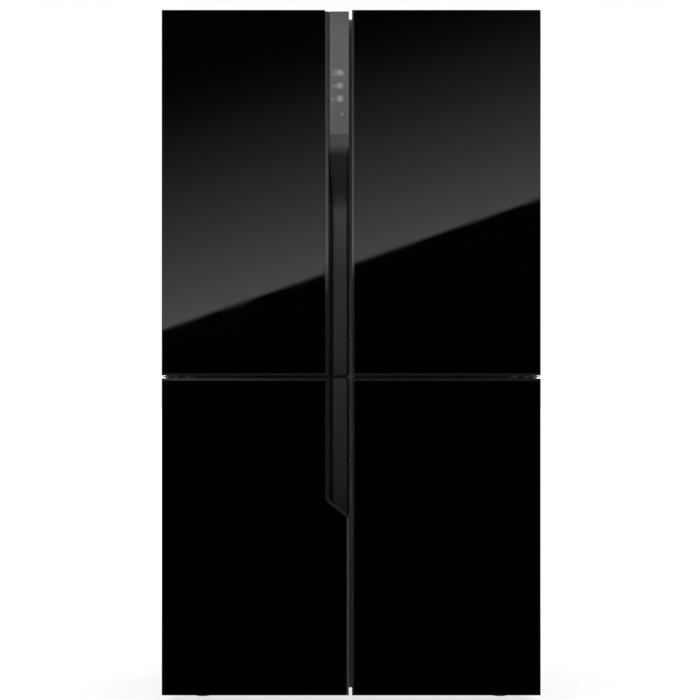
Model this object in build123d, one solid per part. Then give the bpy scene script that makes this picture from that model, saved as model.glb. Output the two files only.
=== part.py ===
from build123d import *
import math
import os

# Four-door side by side refrigerator with black glass doors and a recessed grip strip.
# Millimetres, +Z up. The doors face -Y and +X is to the right of someone who faces them.
# The origin is on the floor under the middle of the appliance's box.
# Places across the width are mostly given as a distance from the middle plane on one side.

LEFT = -1
RIGHT = 1

# Overall sizes
WIDTH = 984.0               # across both columns of doors
HEIGHT = 1800.0             # floor to the top of the doors
CABINET_DEPTH = 620.0       # cabinet without its doors
FLOOR_GAP = 20.0            # floor to the bottom of the doors
LOWER_DOOR_HEIGHT = 823.0
ROW_GAP = 8.0               # between an upper and a lower door
COLUMN_GAP = 8.3            # between the left and right doors
GAP_SHIFT = 2.0             # middle of that gap, left of the appliance's middle
WALL_SPACER_T = 10.0        # stands the back off the wall
WALL_SPACER_WIDTH = 40.0
WALL_SPACER_HEIGHT = 60.0
WALL_SPACER_INSET = 120.0   # from the cabinet's side and from its top
WALL_SPACER_CHAMFER = 3.0
CUT = 1.0                   # how far a cutting tool runs past the face it opens

# Cabinet shell and walls
CABINET_SIDE_INSET = 6.0    # cabinet side behind the door's outer edge
CABINET_TOP_INSET = 13.0    # cabinet top below the top of the doors
CABINET_RISE = 9.0          # cabinet bottom above the bottom of the doors
SKIN_T = 1.0                # steel sheet
BASE_T = 2.0
LINER_T = 2.0               # moulded inner liners of cabinet and doors
SIDE_WALL = 55.0
TOP_WALL = 60.0
FLOOR_WALL = 65.0
MIDDLE_WALL = 70.0          # between the upper and lower compartments
CENTRE_WALL = 64.0          # between the left and right compartments
BACK_WALL = 70.0
STEP_WALL = 55.0            # around the machine compartment
MACHINE_DEPTH = 200.0
MACHINE_HEIGHT = 220.0

# Door build
GLASS_T = 4.0
GLASS_GAP = 0.4             # from a glass edge to the trim or grip beside it
GLASS_CHAMFER = 0.8
GLASS_CORNER = 2.0          # rounded corners of the sheet
DOOR_CORE_T = 62.0
TRIM_W = 5.0                # lip along the edges that face another door
TRIM_SET_BACK = 0.5         # lip behind the glass front
SEAL_GAP = 16.0             # door back to cabinet front
SEAL_W = 14.0
SEAL_CLEARANCE = 0.3        # gasket to cabinet front with the door shut
SEAL_INSET = 8.0            # gasket from the edges that face another door
SEAL_HINGE_INSET = 14.0     # gasket from the hinge edge, which keeps it clear of the frame as the door turns
SEAL_END_INSET = 20.0       # gasket from the door's outer end
LINER_MARGIN = 2.0          # inner liner past the gasket
DYKE_W = 16.0               # raised ring on the inner liner
DYKE_DEPTH = 30.0
DYKE_END_GAP = 12.0         # ring to the compartment's floor and ceiling
DYKE_HINGE_GAP = 10.0
DYKE_FREE_GAP_LOWER = 12.0
DYKE_FREE_GAP_UPPER = 33.0  # wider, so that the deep bins clear the centre wall as the door turns

# Grip strip of the left doors
GRIP_WIDTH = 61.4           # from the door's free edge
GRIP_TOP_INSET = 4.0        # grip below the top of the glass
GRIP_BLOCK_DEPTH = 44.0
GRIP_LIP_W = 8.2
GRIP_LIP_T = 5.0
GRIP_UNDERCUT = 6.0         # pocket behind the lip, for the fingertips
GRIP_POCKET_W = 13.0        # pocket from the lip to the floor
GRIP_POCKET_FLAT = 4.0      # level part of the pocket, from the lip
GRIP_POCKET_ROUND = 5.0
GRIP_POCKET_DEPTH = 38.0
GRIP_FLOOR_DEPTH = 26.0
GRIP_ROLL = 6.0             # floor rolls back along the free edge
GRIP_ROLL_DROP = 8.0
GRIP_ROUND = 3.0
GRIP_EDGE = 0.3             # near-sharp moulded corner
FACET_HEIGHT = 36.0         # bevel under the display
FACET_DROP = 3.5
FACET_ROUND = 40.0          # between the bevel and the ramp
RAMP_HEIGHT = 144.0         # slope from the bevel down to the floor of the grip
RAMP_ROUND = 360.0          # between the ramp and the floor
LOWER_GRIP_LENGTH = 316.0   # top of the lower door to the start of the diagonal
LOWER_GRIP_DIAGONAL = 45.5  # height of the diagonal across the strip
DIAGONAL_LIP_W = 7.0
DIAGONAL_ROUND = 12.0
SIDE_GRIP_DEPTH = 14.0      # finger groove in the free edge of the right doors
SIDE_GRIP_SET_BACK = 10.0
SIDE_GRIP_W = 24.0
SIDE_GRIP_END_GAP = 20.0    # groove from the end of the door

# Touch display and its board
DISPLAY_HEIGHT = 318.0
DISPLAY_T = 2.5
DISPLAY_MARGIN = 0.4        # moulding left over the display and along the free edge
GROOVE_W = 4.0              # shadow groove between the lip and the display
GROOVE_DEPTH = 6.0
BOARD_T = 1.6
BOARD_POCKET_DEPTH = 8.0
BOARD_MARGIN = 8.0          # pocket inside the display's outline
BOARD_FIT = 0.5

# Hinges
HINGE_INSET = 12.0          # axis from the door's hinge edge
HINGE_SET_BACK = 26.0       # axis behind the glass front
PIN_R = 4.0
PIN_FIT = 0.05              # radial running clearance in the door
PIN_DEPTH = 22.0            # pin inside the door
PIN_END_GAP = 1.0
BRACKET_T = 3.0
BRACKET_NOSE_R = 10.0
BRACKET_ARM_HALF = 9.0
BRACKET_PAD_W = 54.0
BRACKET_PAD_LENGTH = 60.0
BRACKET_PAD_INSET = 4.0     # pad from the cabinet's side
BRACKET_PAD_LEAD = 4.0      # pad in front of the cabinet's face
PAD_SCREWS = (0.4, 0.8)     # places along the pad, as shares of its length
BRACKET_SPACER = 4.0        # bottom bracket below the base plate
FLANGE_WIDTH = 62.0         # middle bracket's screw flange
FLANGE_SEAL_GAP = 2.5
FLANGE_SCREWS = (0.3, 0.8)  # places along the flange, as shares of its width
POCKET_CLEARANCE = 3.0      # door's hinge pocket over and under the bracket
POCKET_SIDE = 14.0          # pocket from the axis towards the middle
POCKET_FRONT_WALL = 2.0
SCREW_R = 2.5
SCREW_FIT = 0.2
SCREW_HEAD_R = 4.5
SCREW_HEAD_T = 2.5
HINGE_COVER_T = 1.5
HINGE_COVER_GAP = 1.0       # cover below the door tops and behind the cabinet front
HINGE_COVER_MARGIN = 4.0    # cover past the bracket's pad
HINGE_COVER_FIT = 0.5

# Shelves, drawers and bins
RUNNER_W = 16.0             # moulded ribs that carry shelves and drawers
RUNNER_H = 6.0
SHELF_T = 4.0
SHELF_SIDE_GAP = 3.0
SHELF_BIN_GAP = 22.0        # shelf front behind the door bins
SHELF_DUCT_GAP = 6.0
SHELF_SPACING = 215.0
SHELVES_PER_SIDE = 3
CRISPER_HEIGHT = 190.0
CRISPER_LID_GAP = 6.0
DRAWER_SIDE_GAP = 6.0
DRAWER_CLEARANCE = 0.3      # drawer over its runner
DRAWER_WALL = 3.0
DRAWER_FRONT_T = 6.0
DRAWER_DYKE_GAP = 20.0      # drawer front behind the door's ring
DRAWER_BACK_GAP = 10.0
DRAWER_TOP_GAP = 14.0       # under the next runner or the ceiling
FREEZER_TIERS = 2           # freezer drawers over the step
STEP_RUNNER_GAP = 8.0       # runner over the step of the freezer floor
PULL_REACH = 12.0           # pull along the top of a drawer front
PULL_HALF_WIDTH = 100.0
PULL_T = 4.0
PULL_DROP = 16.0
BIN_DEPTH = 110.0
BIN_HEIGHT = 100.0
BIN_WALL = 2.5
BIN_FIT = 0.3
BIN_ROUND = 14.0
BIN_RIB_DEPTH = 70.0        # ribs of the upper doors that hold the bins
BIN_FIRST = 30.0            # lowest bin over the compartment floor
BIN_PITCH = 275.0
BINS_PER_DOOR = 3
LUG_W = 8.0                 # lugs on the ribs, under each bin
LUG_DEPTH = 50.0
LUG_H = 8.0

# Air and light
DUCT_T = 40.0
DUCT_HALF_WIDTH = 120.0
DUCT_WALL = 2.5
DUCT_FLOOR_GAP = 20.0
DUCT_CEILING_GAP = 40.0
FREEZER_DUCT_T = 75.0
FREEZER_DUCT_HALF_WIDTH = 165.0
FREEZER_DUCT_GAP = 8.0      # duct from the freezer's step and ceiling
VENT_HALF_WIDTH = 60.0
VENT_H = 8.0
VENT_PITCH = 105.0
LIGHT_HALF_WIDTH = 110.0
LIGHT_DEPTH = 60.0
LIGHT_T = 8.0
LIGHT_CHAMFER = 4.0
LIGHT_SET_BACK = 60.0       # from the shelf front

# Evaporator and its fan
FINS = 24
FIN_T = 0.8
EVAPORATOR_HALF_WIDTH = 140.0
EVAPORATOR_HEIGHT = 190.0
EVAPORATOR_DEPTH = 50.0
EVAPORATOR_LIFT = 16.0      # over the bottom of the duct
EVAPORATOR_TUBE_R = 4.0
EVAPORATOR_RUNS = 6
BEND_SHARE = 0.48           # radius of a return bend, as a share of the pitch of the tubes
EVAPORATOR_FAN_R = 52.0
EVAPORATOR_FAN_DROP = 110.0  # fan axis below the top of the duct
FAN_BLADES = 5
FAN_HUB_R = 16.0
FAN_SHAFT_R = 2.0
FAN_SHAFT_FIT = 0.05
FAN_TIP_GAP = 6.0
FAN_WIDTH = 18.0
FAN_BLADE_T = 1.6
FAN_BLADE_CHORD = 27.0
FAN_BLADE_ROOT = 8.0        # blade starts inside the hub
FAN_BLADE_PITCH = 32.0      # degrees
FAN_STRUT_W = 6.0
FAN_RUN_GAP = 2.0           # hub to the motor boss
FAN_BOSS_T = 12.0

# Machine compartment
COMPRESSOR_R = 78.0
COMPRESSOR_HEIGHT = 160.0
COMPRESSOR_ROUND = 34.0
COMPRESSOR_SEAM_W = 5.0
COMPRESSOR_SEAM_T = 4.0
COMPRESSOR_WALL_GAP = 143.0  # compressor's middle from the right side of the compartment
COMPRESSOR_FOOT_X = 86.0
COMPRESSOR_FOOT_Y = 62.0
COMPRESSOR_PLATE_T = 3.0
COMPRESSOR_SINK = 8.0       # shell below its foot plate
TERMINAL_BOX_W = 50.0
TERMINAL_BOX_T = 16.0
MOUNT_R = 11.0
MOUNT_H = 14.0
MOUNT_BORE_R = 4.0
CONDENSER_WALL_GAP = 45.0   # coil from the left side of the compartment
CONDENSER_TUBE_R = 3.0
CONDENSER_RUNS = 6
CONDENSER_LAYERS = 3
CONDENSER_PITCH = 26.0
CONDENSER_LAYER_PITCH = 44.0
CONDENSER_PLATE_T = 2.0
CONDENSER_PLATE_MARGIN = 14.0
CONDENSER_FAN_GAP = 30.0
SHROUD_TRAY_GAP = 50.0      # shroud's left face from the drip tray
SHROUD_T = 8.0
SHROUD_GAP = 6.0            # from the front, back and top of the compartment
CONDENSER_FAN_R = 82.0
TRAY_GAP = 33.0             # tray from the compressor's foot plate
TRAY_WIDTH = 140.0
TRAY_DEPTH = 150.0
TRAY_HEIGHT = 40.0
TRAY_WALL = 2.0
COVER_SLOT_W = 6.0
COVER_SLOT_LENGTH = 120.0
COVER_SLOT_PITCH = 18.0
COVER_SLOT_START = 36.0     # first slot from the middle
COVER_SLOTS = 16
GLAND_WALL_GAP = 33.0       # gland from the right side of the compartment
GLAND_LIFT = 60.0           # over the base plate
GLAND_R = 9.0
GLAND_FLANGE_R = 14.0
GLAND_FLANGE_T = 4.0
GLAND_BORE_R = 4.0
GLAND_DEPTH = 10.0

# Feet and rollers
FOOT_INSET = 92.0           # from the cabinet's side
FOOT_SET_BACK = 60.0        # from the cabinet's front
FOOT_R = 20.0
FOOT_H = 10.0
FOOT_CHAMFER = 2.0
FOOT_STUD_R = 5.0
FOOT_FIT = 0.05
FOOT_BOSS_R = 11.0
FOOT_BOSS_H = 14.0
ROLLER_R = 13.0
ROLLER_W = 22.0
ROLLER_INSET = 70.0
ROLLER_FROM_BACK = 60.0
ROLLER_ROUND = 2.0
AXLE_R = 3.0
AXLE_FIT = 0.05
EAR_T = 3.0
EAR_GAP = 1.0               # ear to the side of the roller
EAR_HALF_DEPTH = 9.0
EAR_DROP = 6.0              # ear below the axle

# Planes front to back
TOTAL_DEPTH = GLASS_T + DOOR_CORE_T + SEAL_GAP + CABINET_DEPTH + WALL_SPACER_T
Y_GLASS = -TOTAL_DEPTH / 2
Y_CORE = Y_GLASS + GLASS_T
Y_DOOR_BACK = Y_CORE + DOOR_CORE_T
Y_LINER = Y_DOOR_BACK + LINER_T
Y_FRAME = Y_DOOR_BACK + SEAL_GAP
Y_BACK = Y_FRAME + CABINET_DEPTH
Y_SKIN = Y_BACK - SKIN_T
Y_IN = Y_BACK - BACK_WALL
Y_MACHINE = Y_BACK - MACHINE_DEPTH
Y_RISER = Y_MACHINE - STEP_WALL
Y_AXIS = Y_GLASS + HINGE_SET_BACK

# Planes from the floor up
Z_CAB0 = FLOOR_GAP + CABINET_RISE
Z_CAB1 = HEIGHT - CABINET_TOP_INSET
Z_BASE = Z_CAB0 + BASE_T
Z_LOWER_TOP = FLOOR_GAP + LOWER_DOOR_HEIGHT
Z_UPPER_BOTTOM = Z_LOWER_TOP + ROW_GAP
Z_MID = Z_LOWER_TOP + ROW_GAP / 2
Z_FRIDGE0 = Z_MID + MIDDLE_WALL / 2
Z_FRIDGE1 = Z_CAB1 - TOP_WALL
Z_FREEZER0 = Z_CAB0 + FLOOR_WALL
Z_FREEZER1 = Z_MID - MIDDLE_WALL / 2
Z_MACHINE = Z_CAB0 + MACHINE_HEIGHT
Z_STEP = Z_MACHINE + STEP_WALL
Z_GRIP_TOP = HEIGHT - GRIP_TOP_INSET
Z_DISPLAY0 = Z_GRIP_TOP - DISPLAY_MARGIN - DISPLAY_HEIGHT
Z_FACET0 = Z_DISPLAY0 - FACET_HEIGHT
Z_BRACKET1 = Z_CAB0 - BRACKET_SPACER
Z_BRACKET0 = Z_BRACKET1 - BRACKET_T
Z_POCKET_TOP = Z_CAB1 - POCKET_CLEARANCE
Z_POCKET_BOTTOM = Z_BRACKET1 + POCKET_CLEARANCE

# Distances from the middle plane
A_CABINET = WIDTH / 2 - CABINET_SIDE_INSET
A_SKIN = A_CABINET - SKIN_T
A_WALL = A_CABINET - SIDE_WALL
A_CENTRE = CENTRE_WALL / 2
A_OPENING = A_WALL + LINER_T
A_MULLION = A_CENTRE - LINER_T
A_MIDDLE = (A_CENTRE + A_WALL) / 2
A_FREE = {LEFT: COLUMN_GAP / 2 + GAP_SHIFT, RIGHT: COLUMN_GAP / 2 - GAP_SHIFT}
A_HINGE = WIDTH / 2
A_AXIS = A_HINGE - HINGE_INSET
A_GRIP = A_FREE[LEFT] + GRIP_WIDTH
A_LIP = A_GRIP - GRIP_LIP_W
A_PAD1 = A_CABINET - BRACKET_PAD_INSET
A_PAD0 = A_PAD1 - BRACKET_PAD_W

# Fronts and backs of what stands in the compartments
Y_BIN_BACK = Y_LINER + BIN_DEPTH
Y_SHELF0 = Y_BIN_BACK + SHELF_BIN_GAP
Y_SHELF1 = Y_IN - DUCT_T - SHELF_DUCT_GAP
Y_DRAWER = Y_LINER + DYKE_DEPTH + DRAWER_DYKE_GAP
Z_LID = Z_FRIDGE0 + RUNNER_H + DRAWER_CLEARANCE + CRISPER_HEIGHT + CRISPER_LID_GAP
FREEZER_PITCH = (Z_FREEZER1 - Z_STEP - STEP_RUNNER_GAP) / FREEZER_TIERS


def block(x0, x1, y0, y1, z0, z1):
    """Box between two corners."""
    middle = Pos((x0 + x1) / 2, (y0 + y1) / 2, (z0 + z1) / 2)
    return middle * Box(abs(x1 - x0), abs(y1 - y0), abs(z1 - z0))


def side_block(side, a0, a1, y0, y1, z0, z1):
    """Box on one side of the middle plane, between two distances from it."""
    return block(side * a0, side * a1, y0, y1, z0, z1)


def tub(x0, x1, y0, y1, z0, z1, wall, front=None):
    """Box open at the top, with a front wall that may be thicker."""
    front = front or wall
    hollow = block(x0 + wall, x1 - wall, y0 + front, y1 - wall, z0 + wall, z1 + CUT)
    return block(x0, x1, y0, y1, z0, z1) - hollow


def rod(axis, radius, start, end, u, v):
    """Round bar along one axis; u and v are its place on the other two axes, in X, Y, Z order."""
    bar = extrude(Circle(radius), amount=end - start)
    if axis == "x":
        return Pos(start, u, v) * Rot(0, 90, 0) * bar
    if axis == "y":
        return Pos(u, start, v) * Rot(-90, 0, 0) * bar
    return Pos(u, v, start) * bar


def prism(points, radii, direction, length):
    """Solid swept straight from a closed flat outline with rounded corners."""
    outline = FilletPolyline(*points, radius=radii, close=True)
    return extrude(make_face(outline), amount=length, dir=direction)


def save(name, *pieces):
    """Write one node, as one solid or a group of separate solids."""
    solids = [solid for piece in pieces for solid in piece.solids()]
    shape = solids[0] if len(solids) == 1 else Compound(children=solids)
    export_step(shape, f"parts/{name}.step")


# Cabinet

def cabinet_wrapper():
    """Bent steel sheet: both sides, the top and the front flange that the gaskets close on."""
    shell = block(-A_CABINET, A_CABINET, Y_FRAME, Y_BACK, Z_CAB0, Z_CAB1)
    shell -= block(-A_SKIN, A_SKIN, Y_FRAME + SKIN_T, Y_BACK + CUT, Z_CAB0 - CUT, Z_CAB1 - SKIN_T)
    return shell - block(-A_OPENING, A_OPENING, Y_FRAME - CUT, Y_FRAME + SKIN_T + CUT,
                         Z_CAB0 - CUT, Z_FRIDGE1 + LINER_T)


def back_panel():
    return block(-A_SKIN, A_SKIN, Y_SKIN, Y_BACK, Z_MACHINE, Z_CAB1 - SKIN_T)


def front_cross_frame():
    """Cross of sheet steel over the centre wall and the middle wall."""
    sheet = (Y_FRAME, Y_FRAME + SKIN_T)
    upright = block(-A_MULLION, A_MULLION, *sheet, Z_FREEZER0 - LINER_T, Z_FRIDGE1 + LINER_T)
    rail = block(-A_OPENING, A_OPENING, *sheet, Z_FREEZER1 + LINER_T, Z_FRIDGE0 - LINER_T)
    return upright + rail


def foot_place(side):
    return side * (A_CABINET - FOOT_INSET), Y_FRAME + FOOT_SET_BACK


def roller_place(side):
    return side * (A_CABINET - ROLLER_INSET), Y_BACK - ROLLER_FROM_BACK


def base_plate():
    """Floor pan with the front upstand, the foot bosses and the ears of the rollers."""
    plate = block(-A_SKIN, A_SKIN, Y_FRAME + SKIN_T, Y_SKIN, Z_CAB0, Z_BASE)
    plate += block(-A_OPENING, A_OPENING, Y_FRAME, Y_FRAME + SKIN_T, Z_CAB0, Z_FREEZER0 - LINER_T)
    for side in (LEFT, RIGHT):
        x, y = foot_place(side)
        plate += rod("z", FOOT_BOSS_R, Z_CAB0 - FOOT_BOSS_H, Z_BASE, x, y)
        plate -= rod("z", FOOT_STUD_R + FOOT_FIT, Z_CAB0 - FOOT_BOSS_H - CUT, Z_BASE + CUT, x, y)
        x, y = roller_place(side)
        for end in (-1, 1):
            near = x + end * (ROLLER_W / 2 + EAR_GAP)
            plate += block(near, near + end * EAR_T, y - EAR_HALF_DEPTH, y + EAR_HALF_DEPTH,
                           ROLLER_R - EAR_DROP, Z_CAB0)
        reach = ROLLER_W / 2 + EAR_GAP + EAR_T + CUT
        plate -= rod("x", AXLE_R, x - reach, x + reach, y, ROLLER_R)
    return plate


def insulation_foam():
    """Foam between the sheet steel and the liners, as the slabs of each wall."""
    y0 = Y_FRAME + SKIN_T
    y_in = Y_IN + LINER_T
    riser = Y_RISER + LINER_T
    step = Z_STEP - LINER_T
    top = Z_FRIDGE1 + LINER_T
    floor = Z_FREEZER0 - LINER_T
    slabs = [
        block(-A_OPENING, A_OPENING, y0, Y_SKIN, top, Z_CAB1 - SKIN_T),
        block(-A_OPENING, A_OPENING, y_in, Y_SKIN, step, top),
        block(-A_MULLION, A_MULLION, y0, riser, floor, top),
        block(-A_MULLION, A_MULLION, riser, y_in, step, top),
        block(-A_OPENING, A_OPENING, y0, riser, Z_BASE, floor),
        block(-A_OPENING, A_OPENING, riser, Y_MACHINE, Z_BASE, step),
        block(-A_OPENING, A_OPENING, Y_MACHINE, Y_SKIN, Z_MACHINE, step),
    ]
    for side in (LEFT, RIGHT):
        slabs.append(side_block(side, A_OPENING, A_SKIN, y0, Y_SKIN, Z_BASE, Z_CAB1 - SKIN_T))
        slabs.append(side_block(side, A_MULLION, A_OPENING, y0, y_in,
                                Z_FREEZER1 + LINER_T, Z_FRIDGE0 - LINER_T))
    return slabs


def runners(side, y0, y1, top):
    """Pair of moulded ribs on the side walls, with their tops at one height."""
    pair = side_block(side, A_CENTRE, A_CENTRE + RUNNER_W, y0, y1, top - RUNNER_H, top)
    return pair + side_block(side, A_WALL - RUNNER_W, A_WALL, y0, y1, top - RUNNER_H, top)


def shelf_levels():
    return [Z_LID + SHELF_SPACING * i for i in range(SHELVES_PER_SIDE)]


def fridge_liner(side):
    """Moulded box of an upper compartment with the ribs of its shelves and crisper."""
    shell = side_block(side, A_MULLION, A_OPENING, Y_FRAME, Y_IN + LINER_T,
                       Z_FRIDGE0 - LINER_T, Z_FRIDGE1 + LINER_T)
    shell -= side_block(side, A_CENTRE, A_WALL, Y_FRAME - CUT, Y_IN, Z_FRIDGE0, Z_FRIDGE1)
    shell += runners(side, Y_SHELF0, Y_IN, Z_FRIDGE0 + RUNNER_H)
    for level in shelf_levels():
        shell += runners(side, Y_SHELF0, Y_IN, level)
    return shell


def freezer_drawers():
    """Bottom, height and back of each freezer drawer, from the lowest up."""
    low = Z_FREEZER0 + RUNNER_H + DRAWER_CLEARANCE
    rows = [(low, Z_STEP - LINER_T - low, Y_RISER - DRAWER_BACK_GAP)]
    for i in range(FREEZER_TIERS):
        bottom = Z_STEP + STEP_RUNNER_GAP + RUNNER_H + DRAWER_CLEARANCE + FREEZER_PITCH * i
        height = FREEZER_PITCH - RUNNER_H - DRAWER_TOP_GAP
        rows.append((bottom, height, Y_IN - FREEZER_DUCT_T - DRAWER_BACK_GAP))
    return rows


def freezer_liner(side):
    """Moulded box of a lower compartment; its floor steps up over the machine compartment."""
    outside = (side, A_MULLION, A_OPENING)
    inside = (side, A_CENTRE, A_WALL)
    shell = side_block(*outside, Y_FRAME, Y_RISER + LINER_T, Z_FREEZER0 - LINER_T, Z_FREEZER1 + LINER_T)
    shell += side_block(*outside, Y_RISER, Y_IN + LINER_T, Z_STEP - LINER_T, Z_FREEZER1 + LINER_T)
    shell -= side_block(*inside, Y_FRAME - CUT, Y_RISER, Z_FREEZER0, Z_FREEZER1)
    shell -= side_block(*inside, Y_RISER - CUT, Y_IN, Z_STEP, Z_FREEZER1)
    for bottom, height, back in freezer_drawers():
        shell += runners(side, Y_DRAWER, back, bottom - DRAWER_CLEARANCE)
    return shell


def glass_shelves():
    plates = []
    for side in (LEFT, RIGHT):
        for level in shelf_levels():
            plates.append(side_block(side, A_CENTRE + SHELF_SIDE_GAP, A_WALL - SHELF_SIDE_GAP,
                                     Y_SHELF0, Y_SHELF1, level, level + SHELF_T))
    return plates


def drawer(side, front, back, bottom, height):
    """Moulded drawer with a pull that hangs from the top of its front."""
    x0, x1 = sorted((side * (A_CENTRE + DRAWER_SIDE_GAP), side * (A_WALL - DRAWER_SIDE_GAP)))
    top = bottom + height
    body = tub(x0, x1, front, back, bottom, top, DRAWER_WALL, DRAWER_FRONT_T)
    middle = side * A_MIDDLE
    reach = front - PULL_REACH
    body += block(middle - PULL_HALF_WIDTH, middle + PULL_HALF_WIDTH, reach, front, top - PULL_T, top)
    return body + block(middle - PULL_HALF_WIDTH, middle + PULL_HALF_WIDTH, reach, reach + PULL_T,
                        top - PULL_DROP, top)


def light_cover(side):
    middle = side * A_MIDDLE
    y0 = Y_SHELF0 + LIGHT_SET_BACK
    cover = block(middle - LIGHT_HALF_WIDTH, middle + LIGHT_HALF_WIDTH, y0, y0 + LIGHT_DEPTH,
                  Z_FRIDGE1 - LIGHT_T, Z_FRIDGE1)
    return chamfer(cover.faces().sort_by(Axis.Z)[0].edges(), LIGHT_CHAMFER)


# Air ducts, evaporator and fans

def duct_shell(side, half_width, depth, z0, z1):
    """Cover on the back wall, open towards the wall, with a row of vents."""
    middle = side * A_MIDDLE
    front = Y_IN - depth
    shell = block(middle - half_width, middle + half_width, front, Y_IN, z0, z1)
    shell -= block(middle - half_width + DUCT_WALL, middle + half_width - DUCT_WALL,
                   front + DUCT_WALL, Y_IN + CUT, z0 + DUCT_WALL, z1 - DUCT_WALL)
    return shell


def vents(side, depth, z0, z1):
    """Cutting blocks for the vents of a duct between two heights."""
    middle = side * A_MIDDLE
    front = Y_IN - depth
    count = int((z1 - z0) / VENT_PITCH)
    return [block(middle - VENT_HALF_WIDTH, middle + VENT_HALF_WIDTH, front - CUT, front + DUCT_WALL + CUT,
                  z0 + VENT_PITCH * (i + 0.5), z0 + VENT_PITCH * (i + 0.5) + VENT_H) for i in range(count)]


def fridge_duct(side):
    z0 = Z_FRIDGE0 + DUCT_FLOOR_GAP
    z1 = Z_FRIDGE1 - DUCT_CEILING_GAP
    return duct_shell(side, DUCT_HALF_WIDTH, DUCT_T, z0, z1) - vents(side, DUCT_T, Z_LID, z1)


FREEZER_DUCT_Z0 = Z_STEP + FREEZER_DUCT_GAP
FREEZER_DUCT_Z1 = Z_FREEZER1 - FREEZER_DUCT_GAP
Y_FREEZER_DUCT = Y_IN - FREEZER_DUCT_T
EVAPORATOR_FAN_X = LEFT * A_MIDDLE
EVAPORATOR_FAN_Z = FREEZER_DUCT_Z1 - EVAPORATOR_FAN_DROP


def spider(radius, thickness):
    """Cross of struts with a motor boss and its shaft, along +Z from the origin."""
    cross = Box(2 * radius + 2 * CUT, FAN_STRUT_W, thickness, align=(Align.CENTER, Align.CENTER, Align.MIN))
    cross += Rot(0, 0, 90) * cross
    cross += extrude(Circle(FAN_HUB_R), amount=FAN_BOSS_T)
    return cross + extrude(Circle(FAN_SHAFT_R), amount=FAN_BOSS_T + FAN_RUN_GAP + FAN_WIDTH)


def fan(tip_radius):
    """Axial fan about +Z: a hub with a shaft bore and pitched blades, from z 0 up."""
    hub = extrude(Circle(FAN_HUB_R), amount=FAN_WIDTH)
    length = tip_radius - FAN_BLADE_ROOT
    blade = Pos(FAN_BLADE_ROOT + length / 2, 0, FAN_WIDTH / 2) * Rot(FAN_BLADE_PITCH, 0, 0)
    blade = blade * Box(length, FAN_BLADE_CHORD, FAN_BLADE_T)
    rim = extrude(Circle(tip_radius), amount=FAN_WIDTH)
    blade = blade & rim
    for i in range(FAN_BLADES):
        hub += Rot(0, 0, 360 / FAN_BLADES * i) * blade
    return hub - extrude(Circle(FAN_SHAFT_R + FAN_SHAFT_FIT), amount=FAN_WIDTH)


def evaporator_fan_place(offset):
    """Place of something that lies along the evaporator fan's axis, a distance behind the duct front."""
    return Pos(EVAPORATOR_FAN_X, Y_FREEZER_DUCT + offset, EVAPORATOR_FAN_Z) * Rot(-90, 0, 0)


def freezer_duct(side):
    """Cover over the evaporator; the left one carries the fan in a round outlet."""
    shell = duct_shell(side, FREEZER_DUCT_HALF_WIDTH, FREEZER_DUCT_T, FREEZER_DUCT_Z0, FREEZER_DUCT_Z1)
    if side == RIGHT:
        return shell - vents(side, FREEZER_DUCT_T, FREEZER_DUCT_Z0, FREEZER_DUCT_Z1)
    shell -= rod("y", EVAPORATOR_FAN_R, Y_FREEZER_DUCT - CUT, Y_FREEZER_DUCT + DUCT_WALL + CUT,
                 EVAPORATOR_FAN_X, EVAPORATOR_FAN_Z)
    return shell + evaporator_fan_place(0) * spider(EVAPORATOR_FAN_R, DUCT_WALL)


def evaporator_fan():
    return evaporator_fan_place(FAN_BOSS_T + FAN_RUN_GAP) * fan(EVAPORATOR_FAN_R - FAN_TIP_GAP)


def serpentine(x0, x1, rows, radius, bend):
    """One tube that runs to and fro along X through a list of (y, z) places, with round returns."""
    points = []
    for i, (y, z) in enumerate(rows):
        ends = (x0, x1) if i % 2 == 0 else (x1, x0)
        points += [(x, y, z) for x in ends]
    path = FilletPolyline(*points, radius=bend)
    section = Plane(origin=path @ 0, z_dir=path % 0) * Circle(radius)
    return sweep(section, path=path)


def evaporator_coil():
    """Finned coil that stands in the left freezer duct, held against the back wall."""
    middle = EVAPORATOR_FAN_X
    half = EVAPORATOR_HALF_WIDTH
    z0 = FREEZER_DUCT_Z0 + EVAPORATOR_LIFT
    pitch = EVAPORATOR_HEIGHT / EVAPORATOR_RUNS
    y = Y_IN - EVAPORATOR_DEPTH / 2
    rows = [(y, z0 + pitch * (i + 0.5)) for i in range(EVAPORATOR_RUNS)]
    coil = serpentine(middle - half, middle + half, rows, EVAPORATOR_TUBE_R, pitch * BEND_SHARE)
    spread = 2 * (half - pitch) / (FINS - 1)
    for i in range(FINS):
        x = middle - half + pitch + spread * i
        coil += block(x - FIN_T / 2, x + FIN_T / 2, Y_IN - EVAPORATOR_DEPTH, Y_IN, z0, z0 + EVAPORATOR_HEIGHT)
    return coil


# Machine compartment

Y_MACHINE_MIDDLE = (Y_MACHINE + Y_SKIN) / 2
COMPRESSOR_X = A_OPENING - COMPRESSOR_WALL_GAP
TRAY_X = COMPRESSOR_X - COMPRESSOR_FOOT_X - MOUNT_R - TRAY_GAP - TRAY_WIDTH
SHROUD_X = TRAY_X - SHROUD_TRAY_GAP
GLAND_X = A_OPENING - GLAND_WALL_GAP


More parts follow.
